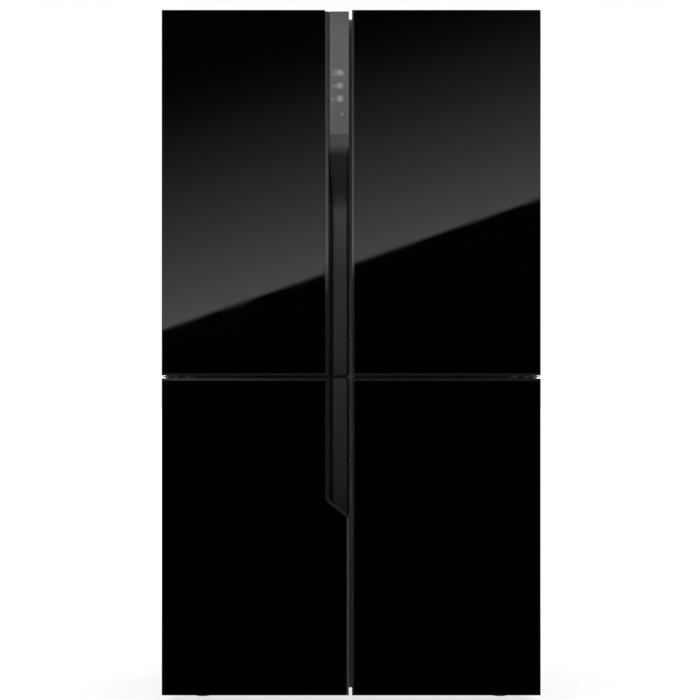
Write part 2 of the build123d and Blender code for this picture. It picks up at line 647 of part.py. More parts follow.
def compressor():
    """Welded steel pot on a foot plate, with a terminal box on its side."""
    plate_z = Z_BASE + MOUNT_H
    bottom = plate_z - COMPRESSOR_SINK
    pot = extrude(Circle(COMPRESSOR_R), amount=COMPRESSOR_HEIGHT)
    pot = fillet(pot.faces().sort_by(Axis.Z)[-1].edges(), COMPRESSOR_ROUND)
    seam_z = COMPRESSOR_HEIGHT / 2
    pot += Pos(0, 0, seam_z) * extrude(Circle(COMPRESSOR_R + COMPRESSOR_SEAM_W), amount=COMPRESSOR_SEAM_T)
    terminals = Box(2 * TERMINAL_BOX_T, TERMINAL_BOX_W, TERMINAL_BOX_W)
    pot += Pos(-COMPRESSOR_R, 0, seam_z - TERMINAL_BOX_W / 2) * terminals
    body = Pos(COMPRESSOR_X, Y_MACHINE_MIDDLE, bottom) * pot
    x, y = COMPRESSOR_FOOT_X + MOUNT_R, COMPRESSOR_FOOT_Y + MOUNT_R
    return body + block(COMPRESSOR_X - x, COMPRESSOR_X + x, Y_MACHINE_MIDDLE - y, Y_MACHINE_MIDDLE + y,
                        plate_z, plate_z + COMPRESSOR_PLATE_T)


def compressor_mounts():
    rubbers = []
    for dx in (-COMPRESSOR_FOOT_X, COMPRESSOR_FOOT_X):
        for dy in (-COMPRESSOR_FOOT_Y, COMPRESSOR_FOOT_Y):
            place = (COMPRESSOR_X + dx, Y_MACHINE_MIDDLE + dy)
            rubber = rod("z", MOUNT_R, Z_BASE, Z_BASE + MOUNT_H, *place)
            rubbers.append(rubber - rod("z", MOUNT_BORE_R, Z_BASE, Z_BASE + MOUNT_H, *place))
    return rubbers


def condenser_coil():
    """Layers of tube held between two end plates that stand on the base plate."""
    x0 = -A_OPENING + CONDENSER_WALL_GAP
    x1 = SHROUD_X - CONDENSER_FAN_GAP
    z0 = Z_BASE + CONDENSER_PITCH
    rows = []
    for layer in range(CONDENSER_LAYERS):
        y = Y_MACHINE_MIDDLE + (layer - (CONDENSER_LAYERS - 1) / 2) * CONDENSER_LAYER_PITCH
        heights = [z0 + CONDENSER_PITCH * i for i in range(CONDENSER_RUNS)]
        rows += [(y, z) for z in (heights if layer % 2 == 0 else reversed(heights))]
    coil = serpentine(x0, x1, rows, CONDENSER_TUBE_R, CONDENSER_PITCH * BEND_SHARE)
    half = (CONDENSER_LAYERS - 1) / 2 * CONDENSER_LAYER_PITCH + CONDENSER_PLATE_MARGIN
    top = z0 + CONDENSER_PITCH * (CONDENSER_RUNS - 1) + CONDENSER_PLATE_MARGIN
    for x in (x0 + CONDENSER_PITCH, x1 - CONDENSER_PITCH):
        coil += block(x - CONDENSER_PLATE_T / 2, x + CONDENSER_PLATE_T / 2,
                      Y_MACHINE_MIDDLE - half, Y_MACHINE_MIDDLE + half, Z_BASE, top)
    return coil


Z_SHROUD1 = Z_MACHINE - SHROUD_GAP
Z_CONDENSER_FAN = (Z_BASE + Z_SHROUD1) / 2


def condenser_fan_place(offset):
    return Pos(SHROUD_X + offset, Y_MACHINE_MIDDLE, Z_CONDENSER_FAN) * Rot(0, 90, 0)


def fan_shroud():
    """Upright plate with a round outlet and the motor's spider."""
    back = SHROUD_X + SHROUD_T
    plate = block(SHROUD_X, back, Y_MACHINE + SHROUD_GAP, Y_SKIN - SHROUD_GAP, Z_BASE, Z_SHROUD1)
    plate -= rod("x", CONDENSER_FAN_R, SHROUD_X - CUT, back + CUT, Y_MACHINE_MIDDLE, Z_CONDENSER_FAN)
    return plate + condenser_fan_place(0) * spider(CONDENSER_FAN_R, SHROUD_T)


def condenser_fan():
    return condenser_fan_place(FAN_BOSS_T + FAN_RUN_GAP) * fan(CONDENSER_FAN_R - FAN_TIP_GAP)


def drip_tray():
    y0 = Y_MACHINE_MIDDLE - TRAY_DEPTH / 2
    return tub(TRAY_X, TRAY_X + TRAY_WIDTH, y0, y0 + TRAY_DEPTH, Z_BASE, Z_BASE + TRAY_HEIGHT, TRAY_WALL)


def machine_cover():
    """Slotted sheet over the back of the machine compartment, with the hole of the lead's gland."""
    sheet = block(-A_SKIN, A_SKIN, Y_SKIN, Y_BACK, Z_BASE, Z_MACHINE)
    middle = (Z_BASE + Z_MACHINE) / 2
    slots = []
    for group in (-1, 1):
        for i in range(COVER_SLOTS):
            x = group * (COVER_SLOT_START + COVER_SLOT_PITCH * i)
            slots.append(block(x - COVER_SLOT_W / 2, x + COVER_SLOT_W / 2, Y_SKIN - CUT, Y_BACK + CUT,
                               middle - COVER_SLOT_LENGTH / 2, middle + COVER_SLOT_LENGTH / 2))
    return sheet - slots - rod("y", GLAND_R, Y_SKIN - CUT, Y_BACK + CUT, GLAND_X, Z_BASE + GLAND_LIFT)


def cord_gland():
    place = (GLAND_X, Z_BASE + GLAND_LIFT)
    sleeve = rod("y", GLAND_R, Y_BACK - GLAND_DEPTH, Y_BACK, *place)
    sleeve += rod("y", GLAND_FLANGE_R, Y_BACK, Y_BACK + GLAND_FLANGE_T, *place)
    return sleeve - rod("y", GLAND_BORE_R, Y_BACK - GLAND_DEPTH - CUT, Y_BACK + GLAND_FLANGE_T + CUT, *place)


def wall_spacers():
    pads = []
    for side in (LEFT, RIGHT):
        a = A_CABINET - WALL_SPACER_INSET
        top = Z_CAB1 - WALL_SPACER_INSET
        pad = side_block(side, a - WALL_SPACER_WIDTH, a, Y_BACK, Y_BACK + WALL_SPACER_T,
                         top - WALL_SPACER_HEIGHT, top)
        pads.append(chamfer(pad.faces().sort_by(Axis.Y)[-1].edges(), WALL_SPACER_CHAMFER))
    return pads


# Feet and rollers

def levelling_foot(side):
    x, y = foot_place(side)
    pad = extrude(Circle(FOOT_R), amount=FOOT_H)
    pad = chamfer(pad.faces().sort_by(Axis.Z)[-1].edges(), FOOT_CHAMFER)
    return Pos(x, y, 0) * pad + rod("z", FOOT_STUD_R, FOOT_H, Z_CAB0, x, y)


def roller(side):
    x, y = roller_place(side)
    wheel = extrude(Circle(ROLLER_R), amount=ROLLER_W)
    wheel = fillet(wheel.edges(), ROLLER_ROUND)
    wheel -= extrude(Circle(AXLE_R + AXLE_FIT), amount=ROLLER_W)
    return Pos(x - ROLLER_W / 2, y, ROLLER_R) * Rot(0, 90, 0) * wheel


def roller_axle(side):
    x, y = roller_place(side)
    reach = ROLLER_W / 2 + EAR_GAP + EAR_T
    return rod("x", AXLE_R, x - reach, x + reach, y, ROLLER_R)


# Hinges

def hinge_axis(side):
    return side * A_AXIS, Y_AXIS


def hinge_arm(side, z0, z1, y_end):
    """Round nose about the pin with an arm back towards the cabinet."""
    x, y = hinge_axis(side)
    arm = rod("z", BRACKET_NOSE_R, z0, z1, x, y)
    arm += block(x - BRACKET_ARM_HALF, x + BRACKET_ARM_HALF, y, y_end, z0, z1)
    return arm - rod("z", PIN_R, z0 - CUT, z1 + CUT, x, y)


def pad_screws(side):
    """Places of the two screws of a top or bottom bracket."""
    x = side * (A_PAD0 + A_PAD1) / 2
    y0 = Y_FRAME - BRACKET_PAD_LEAD
    return [(x, y0 + BRACKET_PAD_LENGTH * share) for share in PAD_SCREWS]


def flange_screws(side):
    """Places across and up of the two screws of a middle bracket."""
    return [(side * (A_AXIS - FLANGE_WIDTH * share), Z_MID) for share in FLANGE_SCREWS]


def pad_bracket(side, z0, z1, pad_z1):
    """Bracket with its screw pad flat on the cabinet's top or under its base."""
    y0 = Y_FRAME - BRACKET_PAD_LEAD
    bracket = hinge_arm(side, z0, z1, Y_FRAME - BRACKET_PAD_LEAD / 2)
    bracket += side_block(side, A_PAD0, A_PAD1, y0, y0 + BRACKET_PAD_LENGTH, z0, z1)
    if pad_z1 > z1:
        bracket += side_block(side, A_PAD0, A_PAD1, Y_FRAME + SKIN_T, y0 + BRACKET_PAD_LENGTH, z1, pad_z1)
    for place in pad_screws(side):
        bracket -= rod("z", SCREW_R + SCREW_FIT, z0 - CUT, pad_z1 + CUT, *place)
    return bracket


def middle_bracket(side):
    """Bracket in the gap between the doors, with an upright flange on the cross frame."""
    z0, z1 = Z_MID - BRACKET_T / 2, Z_MID + BRACKET_T / 2
    half = ROW_GAP / 2 + SEAL_INSET - FLANGE_SEAL_GAP
    bracket = hinge_arm(side, z0, z1, Y_FRAME - BRACKET_T / 2)
    bracket += side_block(side, A_AXIS - FLANGE_WIDTH, A_AXIS, Y_FRAME - BRACKET_T, Y_FRAME,
                          Z_MID - half, Z_MID + half)
    for x, z in flange_screws(side):
        bracket -= rod("y", SCREW_R + SCREW_FIT, Y_FRAME - BRACKET_T - CUT, Y_FRAME + CUT, x, z)
    return bracket


def hinge_brackets():
    brackets = []
    for side in (LEFT, RIGHT):
        brackets.append(pad_bracket(side, Z_CAB1, Z_CAB1 + BRACKET_T, Z_CAB1 + BRACKET_T))
        brackets.append(middle_bracket(side))
        brackets.append(pad_bracket(side, Z_BRACKET0, Z_BRACKET1, Z_CAB0))
    return brackets


def hinge_pins():
    pins = []
    for side in (LEFT, RIGHT):
        place = hinge_axis(side)
        pins.append(rod("z", PIN_R, Z_POCKET_TOP - PIN_DEPTH, Z_CAB1 + BRACKET_T, *place))
        pins.append(rod("z", PIN_R, Z_LOWER_TOP - PIN_DEPTH, Z_UPPER_BOTTOM + PIN_DEPTH, *place))
        pins.append(rod("z", PIN_R, Z_BRACKET0, Z_POCKET_BOTTOM + PIN_DEPTH, *place))
    return pins


def screw(axis, face, way, length, place):
    """Screw with its head outside a face and its shank a length into it; way is the direction inwards."""
    shank = sorted((face, face + way * length))
    head = sorted((face - way * SCREW_HEAD_T, face))
    return rod(axis, SCREW_R, *shank, *place) + rod(axis, SCREW_HEAD_R, *head, *place)


def hinge_screws():
    """Screws of all six brackets, each with its head on the bracket's outer face."""
    screws = []
    for side in (LEFT, RIGHT):
        for place in pad_screws(side):
            screws.append(screw("z", Z_CAB1 + BRACKET_T, -1, BRACKET_T, place))
            screws.append(screw("z", Z_BRACKET0, 1, Z_CAB0 - Z_BRACKET0, place))
        for place in flange_screws(side):
            screws.append(screw("y", Y_FRAME - BRACKET_T, 1, BRACKET_T, place))
    return screws


def hinge_cover(side):
    """Cap over a top bracket, open below and in front for the bracket's arm."""
    a0, a1 = A_PAD0 - HINGE_COVER_MARGIN, A_PAD1 + HINGE_COVER_MARGIN - HINGE_COVER_GAP
    y0 = Y_FRAME + HINGE_COVER_GAP
    y1 = Y_FRAME - BRACKET_PAD_LEAD + BRACKET_PAD_LENGTH + HINGE_COVER_MARGIN
    top = HEIGHT - HINGE_COVER_GAP
    wall = HINGE_COVER_T
    cap = side_block(side, a0, a1, y0, y1, Z_CAB1, top)
    cap -= side_block(side, a0 + wall, a1 - wall, y0 + wall, y1 - wall, Z_CAB1 - CUT, top - wall)
    fit = HINGE_COVER_FIT
    return cap - side_block(side, A_PAD0 - fit, A_PAD1 + fit, y0 - CUT, y0 + wall + CUT,
                            Z_CAB1 - CUT, Z_CAB1 + BRACKET_T + fit)


# Doors

def door_ends(upper):
    """Heights of a door's end at the gap between the rows and of its outer end."""
    return (Z_UPPER_BOTTOM, HEIGHT) if upper else (Z_LOWER_TOP, FLOOR_GAP)


def towards(upper):
    """Direction from the gap between the rows into the door."""
    return 1 if upper else -1


def door_core(side, upper):
    """Foamed door body with trim lips, hinge pocket, pin bores and a finger groove or grip pocket."""
    inner, outer = door_ends(upper)
    up = towards(upper)
    free = A_FREE[side]
    core = side_block(side, free, A_HINGE, Y_CORE, Y_DOOR_BACK, inner, outer)
    lip = (Y_GLASS + TRIM_SET_BACK, Y_CORE)
    first = A_GRIP if side == LEFT else free
    core += side_block(side, first, A_HINGE, *lip, inner, inner + up * TRIM_W)
    if side == RIGHT:
        core += side_block(side, free, free + TRIM_W, *lip, inner, outer)
        core -= side_grip(upper)
    elif upper:
        strip = (side, free - CUT, A_GRIP, Y_GLASS)
        core -= side_block(*strip, Y_GLASS + GRIP_BLOCK_DEPTH, inner - CUT, outer + CUT)
        core -= side_block(*strip, Y_DOOR_BACK + CUT, Z_GRIP_TOP, outer + CUT)
    else:
        core += side_block(side, free, free + TRIM_W, *lip, Z_LOWER_TOP - LOWER_GRIP_LENGTH, outer)
        core -= lower_grip_outline(Y_GLASS, Y_GLASS + GRIP_BLOCK_DEPTH, CUT)
    return core - hinge_pocket(side, upper) - hinge_bores(side, upper)


def side_grip(upper):
    """Groove behind the free edge of a right door, as long as the grip beside it."""
    inner, outer = door_ends(upper)
    up = towards(upper)
    end = Z_FACET0 - RAMP_HEIGHT if upper else Z_LOWER_TOP - LOWER_GRIP_LENGTH
    y0 = Y_GLASS + SIDE_GRIP_SET_BACK
    free = A_FREE[RIGHT]
    return side_block(RIGHT, free - CUT, free + SIDE_GRIP_DEPTH, y0, y0 + SIDE_GRIP_W,
                      inner + up * SIDE_GRIP_END_GAP, end)


def hinge_pocket(side, upper):
    """Room in the door's outer end for the bracket's nose and arm, open to the back and the hinge edge."""
    z0, z1 = (Z_POCKET_TOP, HEIGHT + CUT) if upper else (FLOOR_GAP - CUT, Z_POCKET_BOTTOM)
    return side_block(side, A_AXIS - POCKET_SIDE, A_HINGE + CUT,
                      Y_CORE + POCKET_FRONT_WALL, Y_DOOR_BACK + CUT, z0, z1)


def hinge_bores(side, upper):
    """Bores for the two pins of a door."""
    radius = PIN_R + PIN_FIT
    depth = PIN_DEPTH + PIN_END_GAP
    inner = door_ends(upper)[0]
    up = towards(upper)
    pocket = Z_POCKET_TOP if upper else Z_POCKET_BOTTOM
    bores = []
    for mouth, way in ((inner, up), (pocket, -up)):
        z0, z1 = sorted((mouth - way * CUT, mouth + way * depth))
        bores.append(rod("z", radius, z0, z1, *hinge_axis(side)))
    return bores


def door_glass(side, upper):
    """Glass sheet over the door's front, with ground edges."""
    inner, outer = door_ends(upper)
    inner += towards(upper) * (TRIM_W + GLASS_GAP)
    if side == LEFT and not upper:
        sheet = lower_left_glass(inner, outer)
    else:
        near = A_FREE[RIGHT] + TRIM_W if side == RIGHT else A_GRIP
        near += GLASS_GAP
        outline = [(near, inner), (A_HINGE, inner), (A_HINGE, outer), (near, outer)]
        points = [(side * a, Y_GLASS, z) for a, z in outline]
        sheet = prism(points, [GLASS_CORNER] * len(points), (0, 1, 0), GLASS_T)
    return chamfer(sheet.faces().sort_by(Axis.Y)[0].edges(), GLASS_CHAMFER)


def diagonal_heights():
    """Heights of the lower grip's diagonal at its outer corner and at the door's free edge."""
    start = Z_LOWER_TOP - LOWER_GRIP_LENGTH
    slope = LOWER_GRIP_DIAGONAL / (GRIP_WIDTH - TRIM_W)
    return start, start - slope * GRIP_WIDTH


def lower_left_glass(top, bottom):
    """Outline with the notch of the grip, its two corners rounded."""
    start, end = diagonal_heights()
    slope = (start - end) / GRIP_WIDTH
    a = A_GRIP + GLASS_GAP
    near = A_FREE[LEFT] + TRIM_W + GLASS_GAP
    drop = GLASS_GAP * (1 + slope)
    knee = start - drop
    foot = knee - slope * (a - near)
    points = [(-A_HINGE, bottom), (-near, bottom), (-near, foot), (-a, knee), (-a, top), (-A_HINGE, top)]
    corner = GLASS_CORNER
    radii = [corner, corner, DIAGONAL_ROUND, DIAGONAL_ROUND, corner, corner]
    return prism([(x, Y_GLASS, z) for x, z in points], radii, (0, 1, 0), GLASS_T)


def lower_grip_outline(y0, y1, past):
    """Prism of the lower grip's outline, run past the door's top and free edge where it cuts."""
    start, end = diagonal_heights()
    slope = (start - end) / GRIP_WIDTH
    top = Z_LOWER_TOP + past
    near = A_FREE[LEFT] - past
    points = [(-near, top), (-near, end - slope * past), (-A_GRIP, start), (-A_GRIP, top)]
    radii = [GRIP_EDGE, GRIP_EDGE, DIAGONAL_ROUND, GRIP_EDGE]
    return prism([(x, y0, z) for x, z in points], radii, (0, 1, 0), y1 - y0)


def grip_channel(z0, z1):
    """Finger channel along the strip: an undercut behind the lip, a raised floor and a rolled free edge."""
    deep = Y_GLASS + GRIP_POCKET_DEPTH
    floor = Y_GLASS + GRIP_FLOOR_DEPTH
    far = A_LIP + GRIP_UNDERCUT
    near = A_FREE[LEFT] - CUT
    lip = Y_GLASS + GRIP_LIP_T
    section = [
        (A_LIP, Y_GLASS - CUT, GRIP_EDGE),
        (A_LIP, lip, GRIP_EDGE),
        (far, lip + GRIP_UNDERCUT / 2, GRIP_ROUND),
        (far, deep, GRIP_ROUND * 2),
        (A_LIP - GRIP_POCKET_FLAT, deep, GRIP_POCKET_ROUND),
        (A_LIP - GRIP_POCKET_W, floor, GRIP_POCKET_ROUND),
        (A_FREE[LEFT] + GRIP_ROLL, floor, GRIP_ROUND),
        (near, floor + GRIP_ROLL_DROP, GRIP_EDGE),
        (near, Y_GLASS - CUT, GRIP_EDGE),
    ]
    points = [(-a, y, z0) for a, y, radius in section]
    return prism(points, [radius for a, y, radius in section], (0, 0, 1), z1 - z0)


def ramp_foot():
    """Height below which the grip has its plain channel, under the round at the foot of the ramp."""
    angle = math.atan2(GRIP_FLOOR_DEPTH - FACET_DROP, RAMP_HEIGHT)
    return Z_FACET0 - RAMP_HEIGHT - RAMP_ROUND * math.tan(angle / 2)


def grip_ramp():
    """Room in front of the bevel, the ramp and the top of the floor, from the lip to the free edge."""
    floor = Y_GLASS + GRIP_FLOOR_DEPTH
    outline = [
        (Y_GLASS - CUT, ramp_foot() - CUT, GRIP_EDGE),
        (floor, ramp_foot() - CUT, GRIP_EDGE),
        (floor, Z_FACET0 - RAMP_HEIGHT, RAMP_ROUND),
        (Y_GLASS + FACET_DROP, Z_FACET0, FACET_ROUND),
        (Y_GLASS, Z_DISPLAY0, GRIP_EDGE),
        (Y_GLASS - CUT, Z_DISPLAY0, GRIP_EDGE),
    ]
    points = [(-A_LIP, y, z) for y, z, radius in outline]
    return prism(points, [radius for y, z, radius in outline], (1, 0, 0), A_LIP - A_FREE[LEFT] + CUT)


def grip_wedge():
    """Pocket behind the lip beside the ramp, which narrows to nothing under the bevel."""
    low = ramp_foot() - CUT
    past = A_LIP + GRIP_UNDERCUT + CUT
    narrow = A_LIP - GRIP_POCKET_W
    outline = [
        (past, low, GRIP_EDGE),
        (narrow, low, GRIP_EDGE),
        (narrow, Z_FACET0 - RAMP_HEIGHT, FACET_ROUND),
        (A_LIP, Z_FACET0, GRIP_EDGE),
        (past, Z_FACET0, GRIP_EDGE),
    ]
    points = [(-a, Y_GLASS - 2 * CUT, z) for a, z, radius in outline]
    taper = prism(points, [radius for a, z, radius in outline], (0, 1, 0), GRIP_BLOCK_DEPTH)
    return grip_channel(low, Z_FACET0) & taper


def ramp_roll():
    """Rolled free edge of the ramp, swept down its slope and on to the foot of the ramp."""
    slope = Vector(0, GRIP_FLOOR_DEPTH - FACET_DROP, -RAMP_HEIGHT)
    near = A_FREE[LEFT] - CUT
    far = A_FREE[LEFT] + GRIP_ROLL
    y = Y_GLASS + FACET_DROP
    points = [(far, y), (near, y + GRIP_ROLL_DROP), (near, y - GRIP_ROUND), (far, y - GRIP_ROUND)]
    points = [(-a, y, Z_FACET0) for a, y in points]
    roll = prism(points, [GRIP_EDGE] * len(points), slope.normalized(), slope.length)
    z0 = ramp_foot() - CUT
    z1 = Z_FACET0 - RAMP_HEIGHT
    foot = side_block(LEFT, near - CUT, far, Y_GLASS - 2 * CUT, Y_GLASS + GRIP_BLOCK_DEPTH, z0, z1)
    return roll + (grip_channel(z0, z1 + CUT) & foot)


def display_box(side_margin, y0, y1, end_margin):
    """Block inside the display's outline."""
    a0 = A_FREE[LEFT] + DISPLAY_MARGIN + side_margin
    a1 = A_LIP - GROOVE_W - side_margin
    return side_block(LEFT, a0, a1, Y_GLASS + y0, Y_GLASS + y1, Z_DISPLAY0 + end_margin,
                      Z_DISPLAY0 + DISPLAY_HEIGHT - end_margin)


def upper_grip():
    """Grip moulding of the upper left door, with the seat of the display at its top."""
    strip = side_block(LEFT, A_FREE[LEFT], A_GRIP, Y_GLASS, Y_GLASS + GRIP_BLOCK_DEPTH,
                       Z_UPPER_BOTTOM, Z_GRIP_TOP)
    strip -= grip_channel(Z_UPPER_BOTTOM - CUT, ramp_foot())
    strip -= grip_ramp()
    strip -= grip_wedge()
    strip -= ramp_roll()
    strip -= side_block(LEFT, A_LIP - GROOVE_W, A_LIP, Y_GLASS - CUT, Y_GLASS + GROOVE_DEPTH,
                        Z_FACET0, Z_GRIP_TOP + CUT)
    strip -= display_box(0, -CUT, DISPLAY_T, 0)
    return strip - display_box(BOARD_MARGIN, 0, DISPLAY_T + BOARD_POCKET_DEPTH, BOARD_MARGIN)


def display_panel():
    return display_box(0, 0, DISPLAY_T, 0)


def control_board():
    bottom = DISPLAY_T + BOARD_POCKET_DEPTH
    return display_box(BOARD_MARGIN + BOARD_FIT, bottom - BOARD_T, bottom, BOARD_MARGIN + BOARD_FIT)


def lower_grip():
    """Grip moulding of the lower left door, closed below by a lip along its diagonal."""
    start, end = diagonal_heights()
    slope = (start - end) / GRIP_WIDTH
    rise = DIAGONAL_LIP_W * (1 + slope * slope) ** 0.5
    strip = lower_grip_outline(Y_GLASS, Y_GLASS + GRIP_BLOCK_DEPTH, 0)
    past = 2 * CUT
    top = Z_LOWER_TOP + past
    low = end + rise - slope * past
    high = start + rise + slope * past
    near = A_FREE[LEFT] - past
    far = A_GRIP + past
    points = [(-near, top), (-near, low), (-far, high), (-far, top)]
    corners = [(x, Y_GLASS - past, z) for x, z in points]
    region = prism(corners, [GRIP_EDGE] * len(corners), (0, 1, 0), GRIP_BLOCK_DEPTH + past)
    return strip - (grip_channel(end, Z_LOWER_TOP + CUT) & region)


def seal_box(side, upper):
    """Outline of a door's gasket: distances from the middle plane, then heights."""
    inner, outer = door_ends(upper)
    up = towards(upper)
    z = sorted((inner + up * SEAL_INSET, outer - up * SEAL_END_INSET))
    return A_FREE[side] + SEAL_INSET, A_HINGE - SEAL_HINGE_INSET, z[0], z[1]


def door_gasket(side, upper):
    a0, a1, z0, z1 = seal_box(side, upper)
    y1 = Y_FRAME - SEAL_CLEARANCE
    ring = side_block(side, a0, a1, Y_LINER, y1, z0, z1)
    w = SEAL_W
    return ring - side_block(side, a0 + w, a1 - w, Y_LINER - CUT, y1 + CUT, z0 + w, z1 - w)


def dyke_box(upper):
    """Outline of the raised ring on a door's inner liner."""
    gap = DYKE_FREE_GAP_UPPER if upper else DYKE_FREE_GAP_LOWER
    z0, z1 = (Z_FRIDGE0, Z_FRIDGE1) if upper else (Z_FREEZER0, Z_FREEZER1)
    return A_CENTRE + gap, A_WALL - DYKE_HINGE_GAP, z0 + DYKE_END_GAP, z1 - DYKE_END_GAP


def bin_levels():
    return [Z_FRIDGE0 + BIN_FIRST + BIN_PITCH * i for i in range(BINS_PER_DOOR)]


def door_liner(side, upper):
    """Inner liner: sheet under the gasket, raised ring and, on the upper doors, ribs with bin lugs."""
    a0, a1, z0, z1 = seal_box(side, upper)
    m = LINER_MARGIN
    liner = side_block(side, a0 - m, a1 + m, Y_DOOR_BACK, Y_LINER, z0 - m, z1 + m)
    a0, a1, z0, z1 = dyke_box(upper)
    w = DYKE_W
    ring = side_block(side, a0, a1, Y_LINER, Y_LINER + DYKE_DEPTH, z0, z1)
    liner += ring - side_block(side, a0 + w, a1 - w, Y_LINER - CUT, Y_LINER + DYKE_DEPTH + CUT,
                               z0 + w, z1 - w)
    if upper:
        for near, way in ((a0, 1), (a1, -1)):
            liner += side_block(side, near, near + way * w, Y_LINER, Y_LINER + BIN_RIB_DEPTH, z0, z1)
            for level in bin_levels():
                face = near + way * w
                liner += side_block(side, face, face + way * LUG_W, Y_LINER, Y_LINER + LUG_DEPTH,
                                    level - LUG_H, level)
    return liner


def door_bins(side):
    """Open bins that rest on the lugs between the ribs of an upper door."""
    a0, a1 = dyke_box(True)[:2]
    x0, x1 = sorted((side * (a0 + DYKE_W + BIN_FIT), side * (a1 - DYKE_W - BIN_FIT)))
    bins = []
    for level in bin_levels():
        outside = block(x0, x1, Y_LINER, Y_BIN_BACK, level, level + BIN_HEIGHT)
        w = BIN_WALL
        inside = block(x0 + w, x1 - w, Y_LINER + w, Y_BIN_BACK - w, level + w, level + BIN_HEIGHT + CUT)
        outside = fillet(outside.edges().filter_by(Axis.Z).group_by(Axis.Y)[-1], BIN_ROUND)
        inside = fillet(inside.edges().filter_by(Axis.Z).group_by(Axis.Y)[-1], BIN_ROUND - w)
        bins.append(outside - inside)
    return bins


def save_cabinet():
    save("cabinet_wrapper", cabinet_wrapper())
    save("back_panel", back_panel())
    save("base_plate", base_plate())
    save("insulation_foam", *insulation_foam())
    save("front_cross_frame", front_cross_frame())
    save("fridge_liners", fridge_liner(LEFT), fridge_liner(RIGHT))
    save("freezer_liners", freezer_liner(LEFT), freezer_liner(RIGHT))
    save("glass_shelves", *glass_shelves())
    ducts = [duct(side) for duct in (fridge_duct, freezer_duct) for side in (LEFT, RIGHT)]
    save("air_duct_covers", *ducts)
    save("light_covers", light_cover(LEFT), light_cover(RIGHT))
    save("evaporator_coil", evaporator_coil())
    save("evaporator_fan", evaporator_fan())


def save_machine_compartment():
    save("compressor", compressor())
    save("compressor_mounts", *compressor_mounts())
    save("condenser_coil", condenser_coil())
    save("condenser_fan", condenser_fan())
    save("fan_shroud", fan_shroud())
    save("drip_tray", drip_tray())
    save("machine_cover", machine_cover())
    save("cord_gland", cord_gland())
    save("wall_spacers", *wall_spacers())
    save("roller_axles", roller_axle(LEFT), roller_axle(RIGHT))


def save_hinges():
    save("hinge_brackets", *hinge_brackets())
    save("hinge_pins", *hinge_pins())
    save("hinge_screws", *hinge_screws())
    save("hinge_covers", hinge_cover(LEFT), hinge_cover(RIGHT))


def save_side(side, word):
    save(f"front_foot_{word}", levelling_foot(side))
    save(f"rear_roller_{word}", roller(side))
    crisper_bottom = Z_FRIDGE0 + RUNNER_H + DRAWER_CLEARANCE
    save(f"crisper_{word}", drawer(side, Y_SHELF0, Y_SHELF1, crisper_bottom, CRISPER_HEIGHT))
    for place, (bottom, height, back) in zip(("bottom", "middle", "top"), freezer_drawers()):
        save(f"freezer_drawer_{place}_{word}", drawer(side, Y_DRAWER, back, bottom, height))
    save(f"upper_{word}_bins", *door_bins(side))
    for row, upper in (("upper", True), ("lower", False)):
        name = f"{row}_{word}_door"
        save(f"{name}_core", door_core(side, upper))
        save(f"{name}_glass", door_glass(side, upper))
        save(f"{name}_liner", door_liner(side, upper))
        save(f"{name}_gasket", door_gasket(side, upper))


os.makedirs("parts", exist_ok=True)
save_cabinet()
save_machine_compartment()
save_hinges()
save_side(LEFT, "left")
save_side(RIGHT, "right")
save("upper_grip", upper_grip())
save("lower_grip", lower_grip())
save("display_panel", display_panel())
save("control_board", control_board())
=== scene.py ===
# %% [markdown]
# # A four-door refrigerator with black glass doors
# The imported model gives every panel, hinge and drawer at its true place and in metres.
# This lesson keeps that frame, gives each surface its finish, and adds the fine parts that
# are moulded, pressed or screwed on: seals, trims, signs, screws and grilles.

# %% Load the frame
import math

import bmesh
import bpy
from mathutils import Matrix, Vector


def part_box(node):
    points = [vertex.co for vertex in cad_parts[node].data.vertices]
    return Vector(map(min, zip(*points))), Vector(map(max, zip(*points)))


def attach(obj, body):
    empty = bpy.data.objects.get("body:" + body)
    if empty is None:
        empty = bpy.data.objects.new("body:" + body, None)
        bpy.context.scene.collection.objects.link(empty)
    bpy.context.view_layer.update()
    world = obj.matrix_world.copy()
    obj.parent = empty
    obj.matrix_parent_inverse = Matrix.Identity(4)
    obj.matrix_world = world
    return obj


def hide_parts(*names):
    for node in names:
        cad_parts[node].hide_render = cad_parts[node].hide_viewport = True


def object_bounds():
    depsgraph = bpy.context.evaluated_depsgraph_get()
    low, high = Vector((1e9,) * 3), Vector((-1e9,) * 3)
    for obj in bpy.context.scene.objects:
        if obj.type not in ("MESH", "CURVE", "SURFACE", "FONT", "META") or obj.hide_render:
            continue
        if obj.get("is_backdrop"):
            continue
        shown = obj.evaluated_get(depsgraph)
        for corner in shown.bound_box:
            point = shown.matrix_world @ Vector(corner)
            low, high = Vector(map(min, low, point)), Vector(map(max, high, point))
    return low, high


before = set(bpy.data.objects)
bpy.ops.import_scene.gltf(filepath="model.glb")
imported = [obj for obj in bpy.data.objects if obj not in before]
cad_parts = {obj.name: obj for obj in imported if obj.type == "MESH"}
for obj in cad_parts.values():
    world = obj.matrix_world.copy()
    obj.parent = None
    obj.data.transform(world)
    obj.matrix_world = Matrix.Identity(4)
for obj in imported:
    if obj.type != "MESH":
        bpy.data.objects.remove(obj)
CAD_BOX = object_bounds()
MM = 0.001
SIDES = (("left", -1), ("right", 1))
DOORS = [f"{row}_{word}_door" for row in ("upper", "lower") for word, side in SIDES]

# %% [markdown]
# ## Colours, nodes and objects
# Colours are written as the eye sees them, in sRGB hex, and turned to linear light once.
# Every finish is a small tree of nodes. One function adds a node, sets it and links it, in
# material trees and geometry trees alike, so that a tree reads from its start to its output.

# %% Colour, node and object helpers
WHITE = (1, 1, 1, 1)
SRGB_LIFT = 0.055           # the sRGB curve: its lift, its power and its straight foot
SRGB_POWER = 2.4
SRGB_FOOT = 0.04045
SRGB_FOOT_SLOPE = 12.92
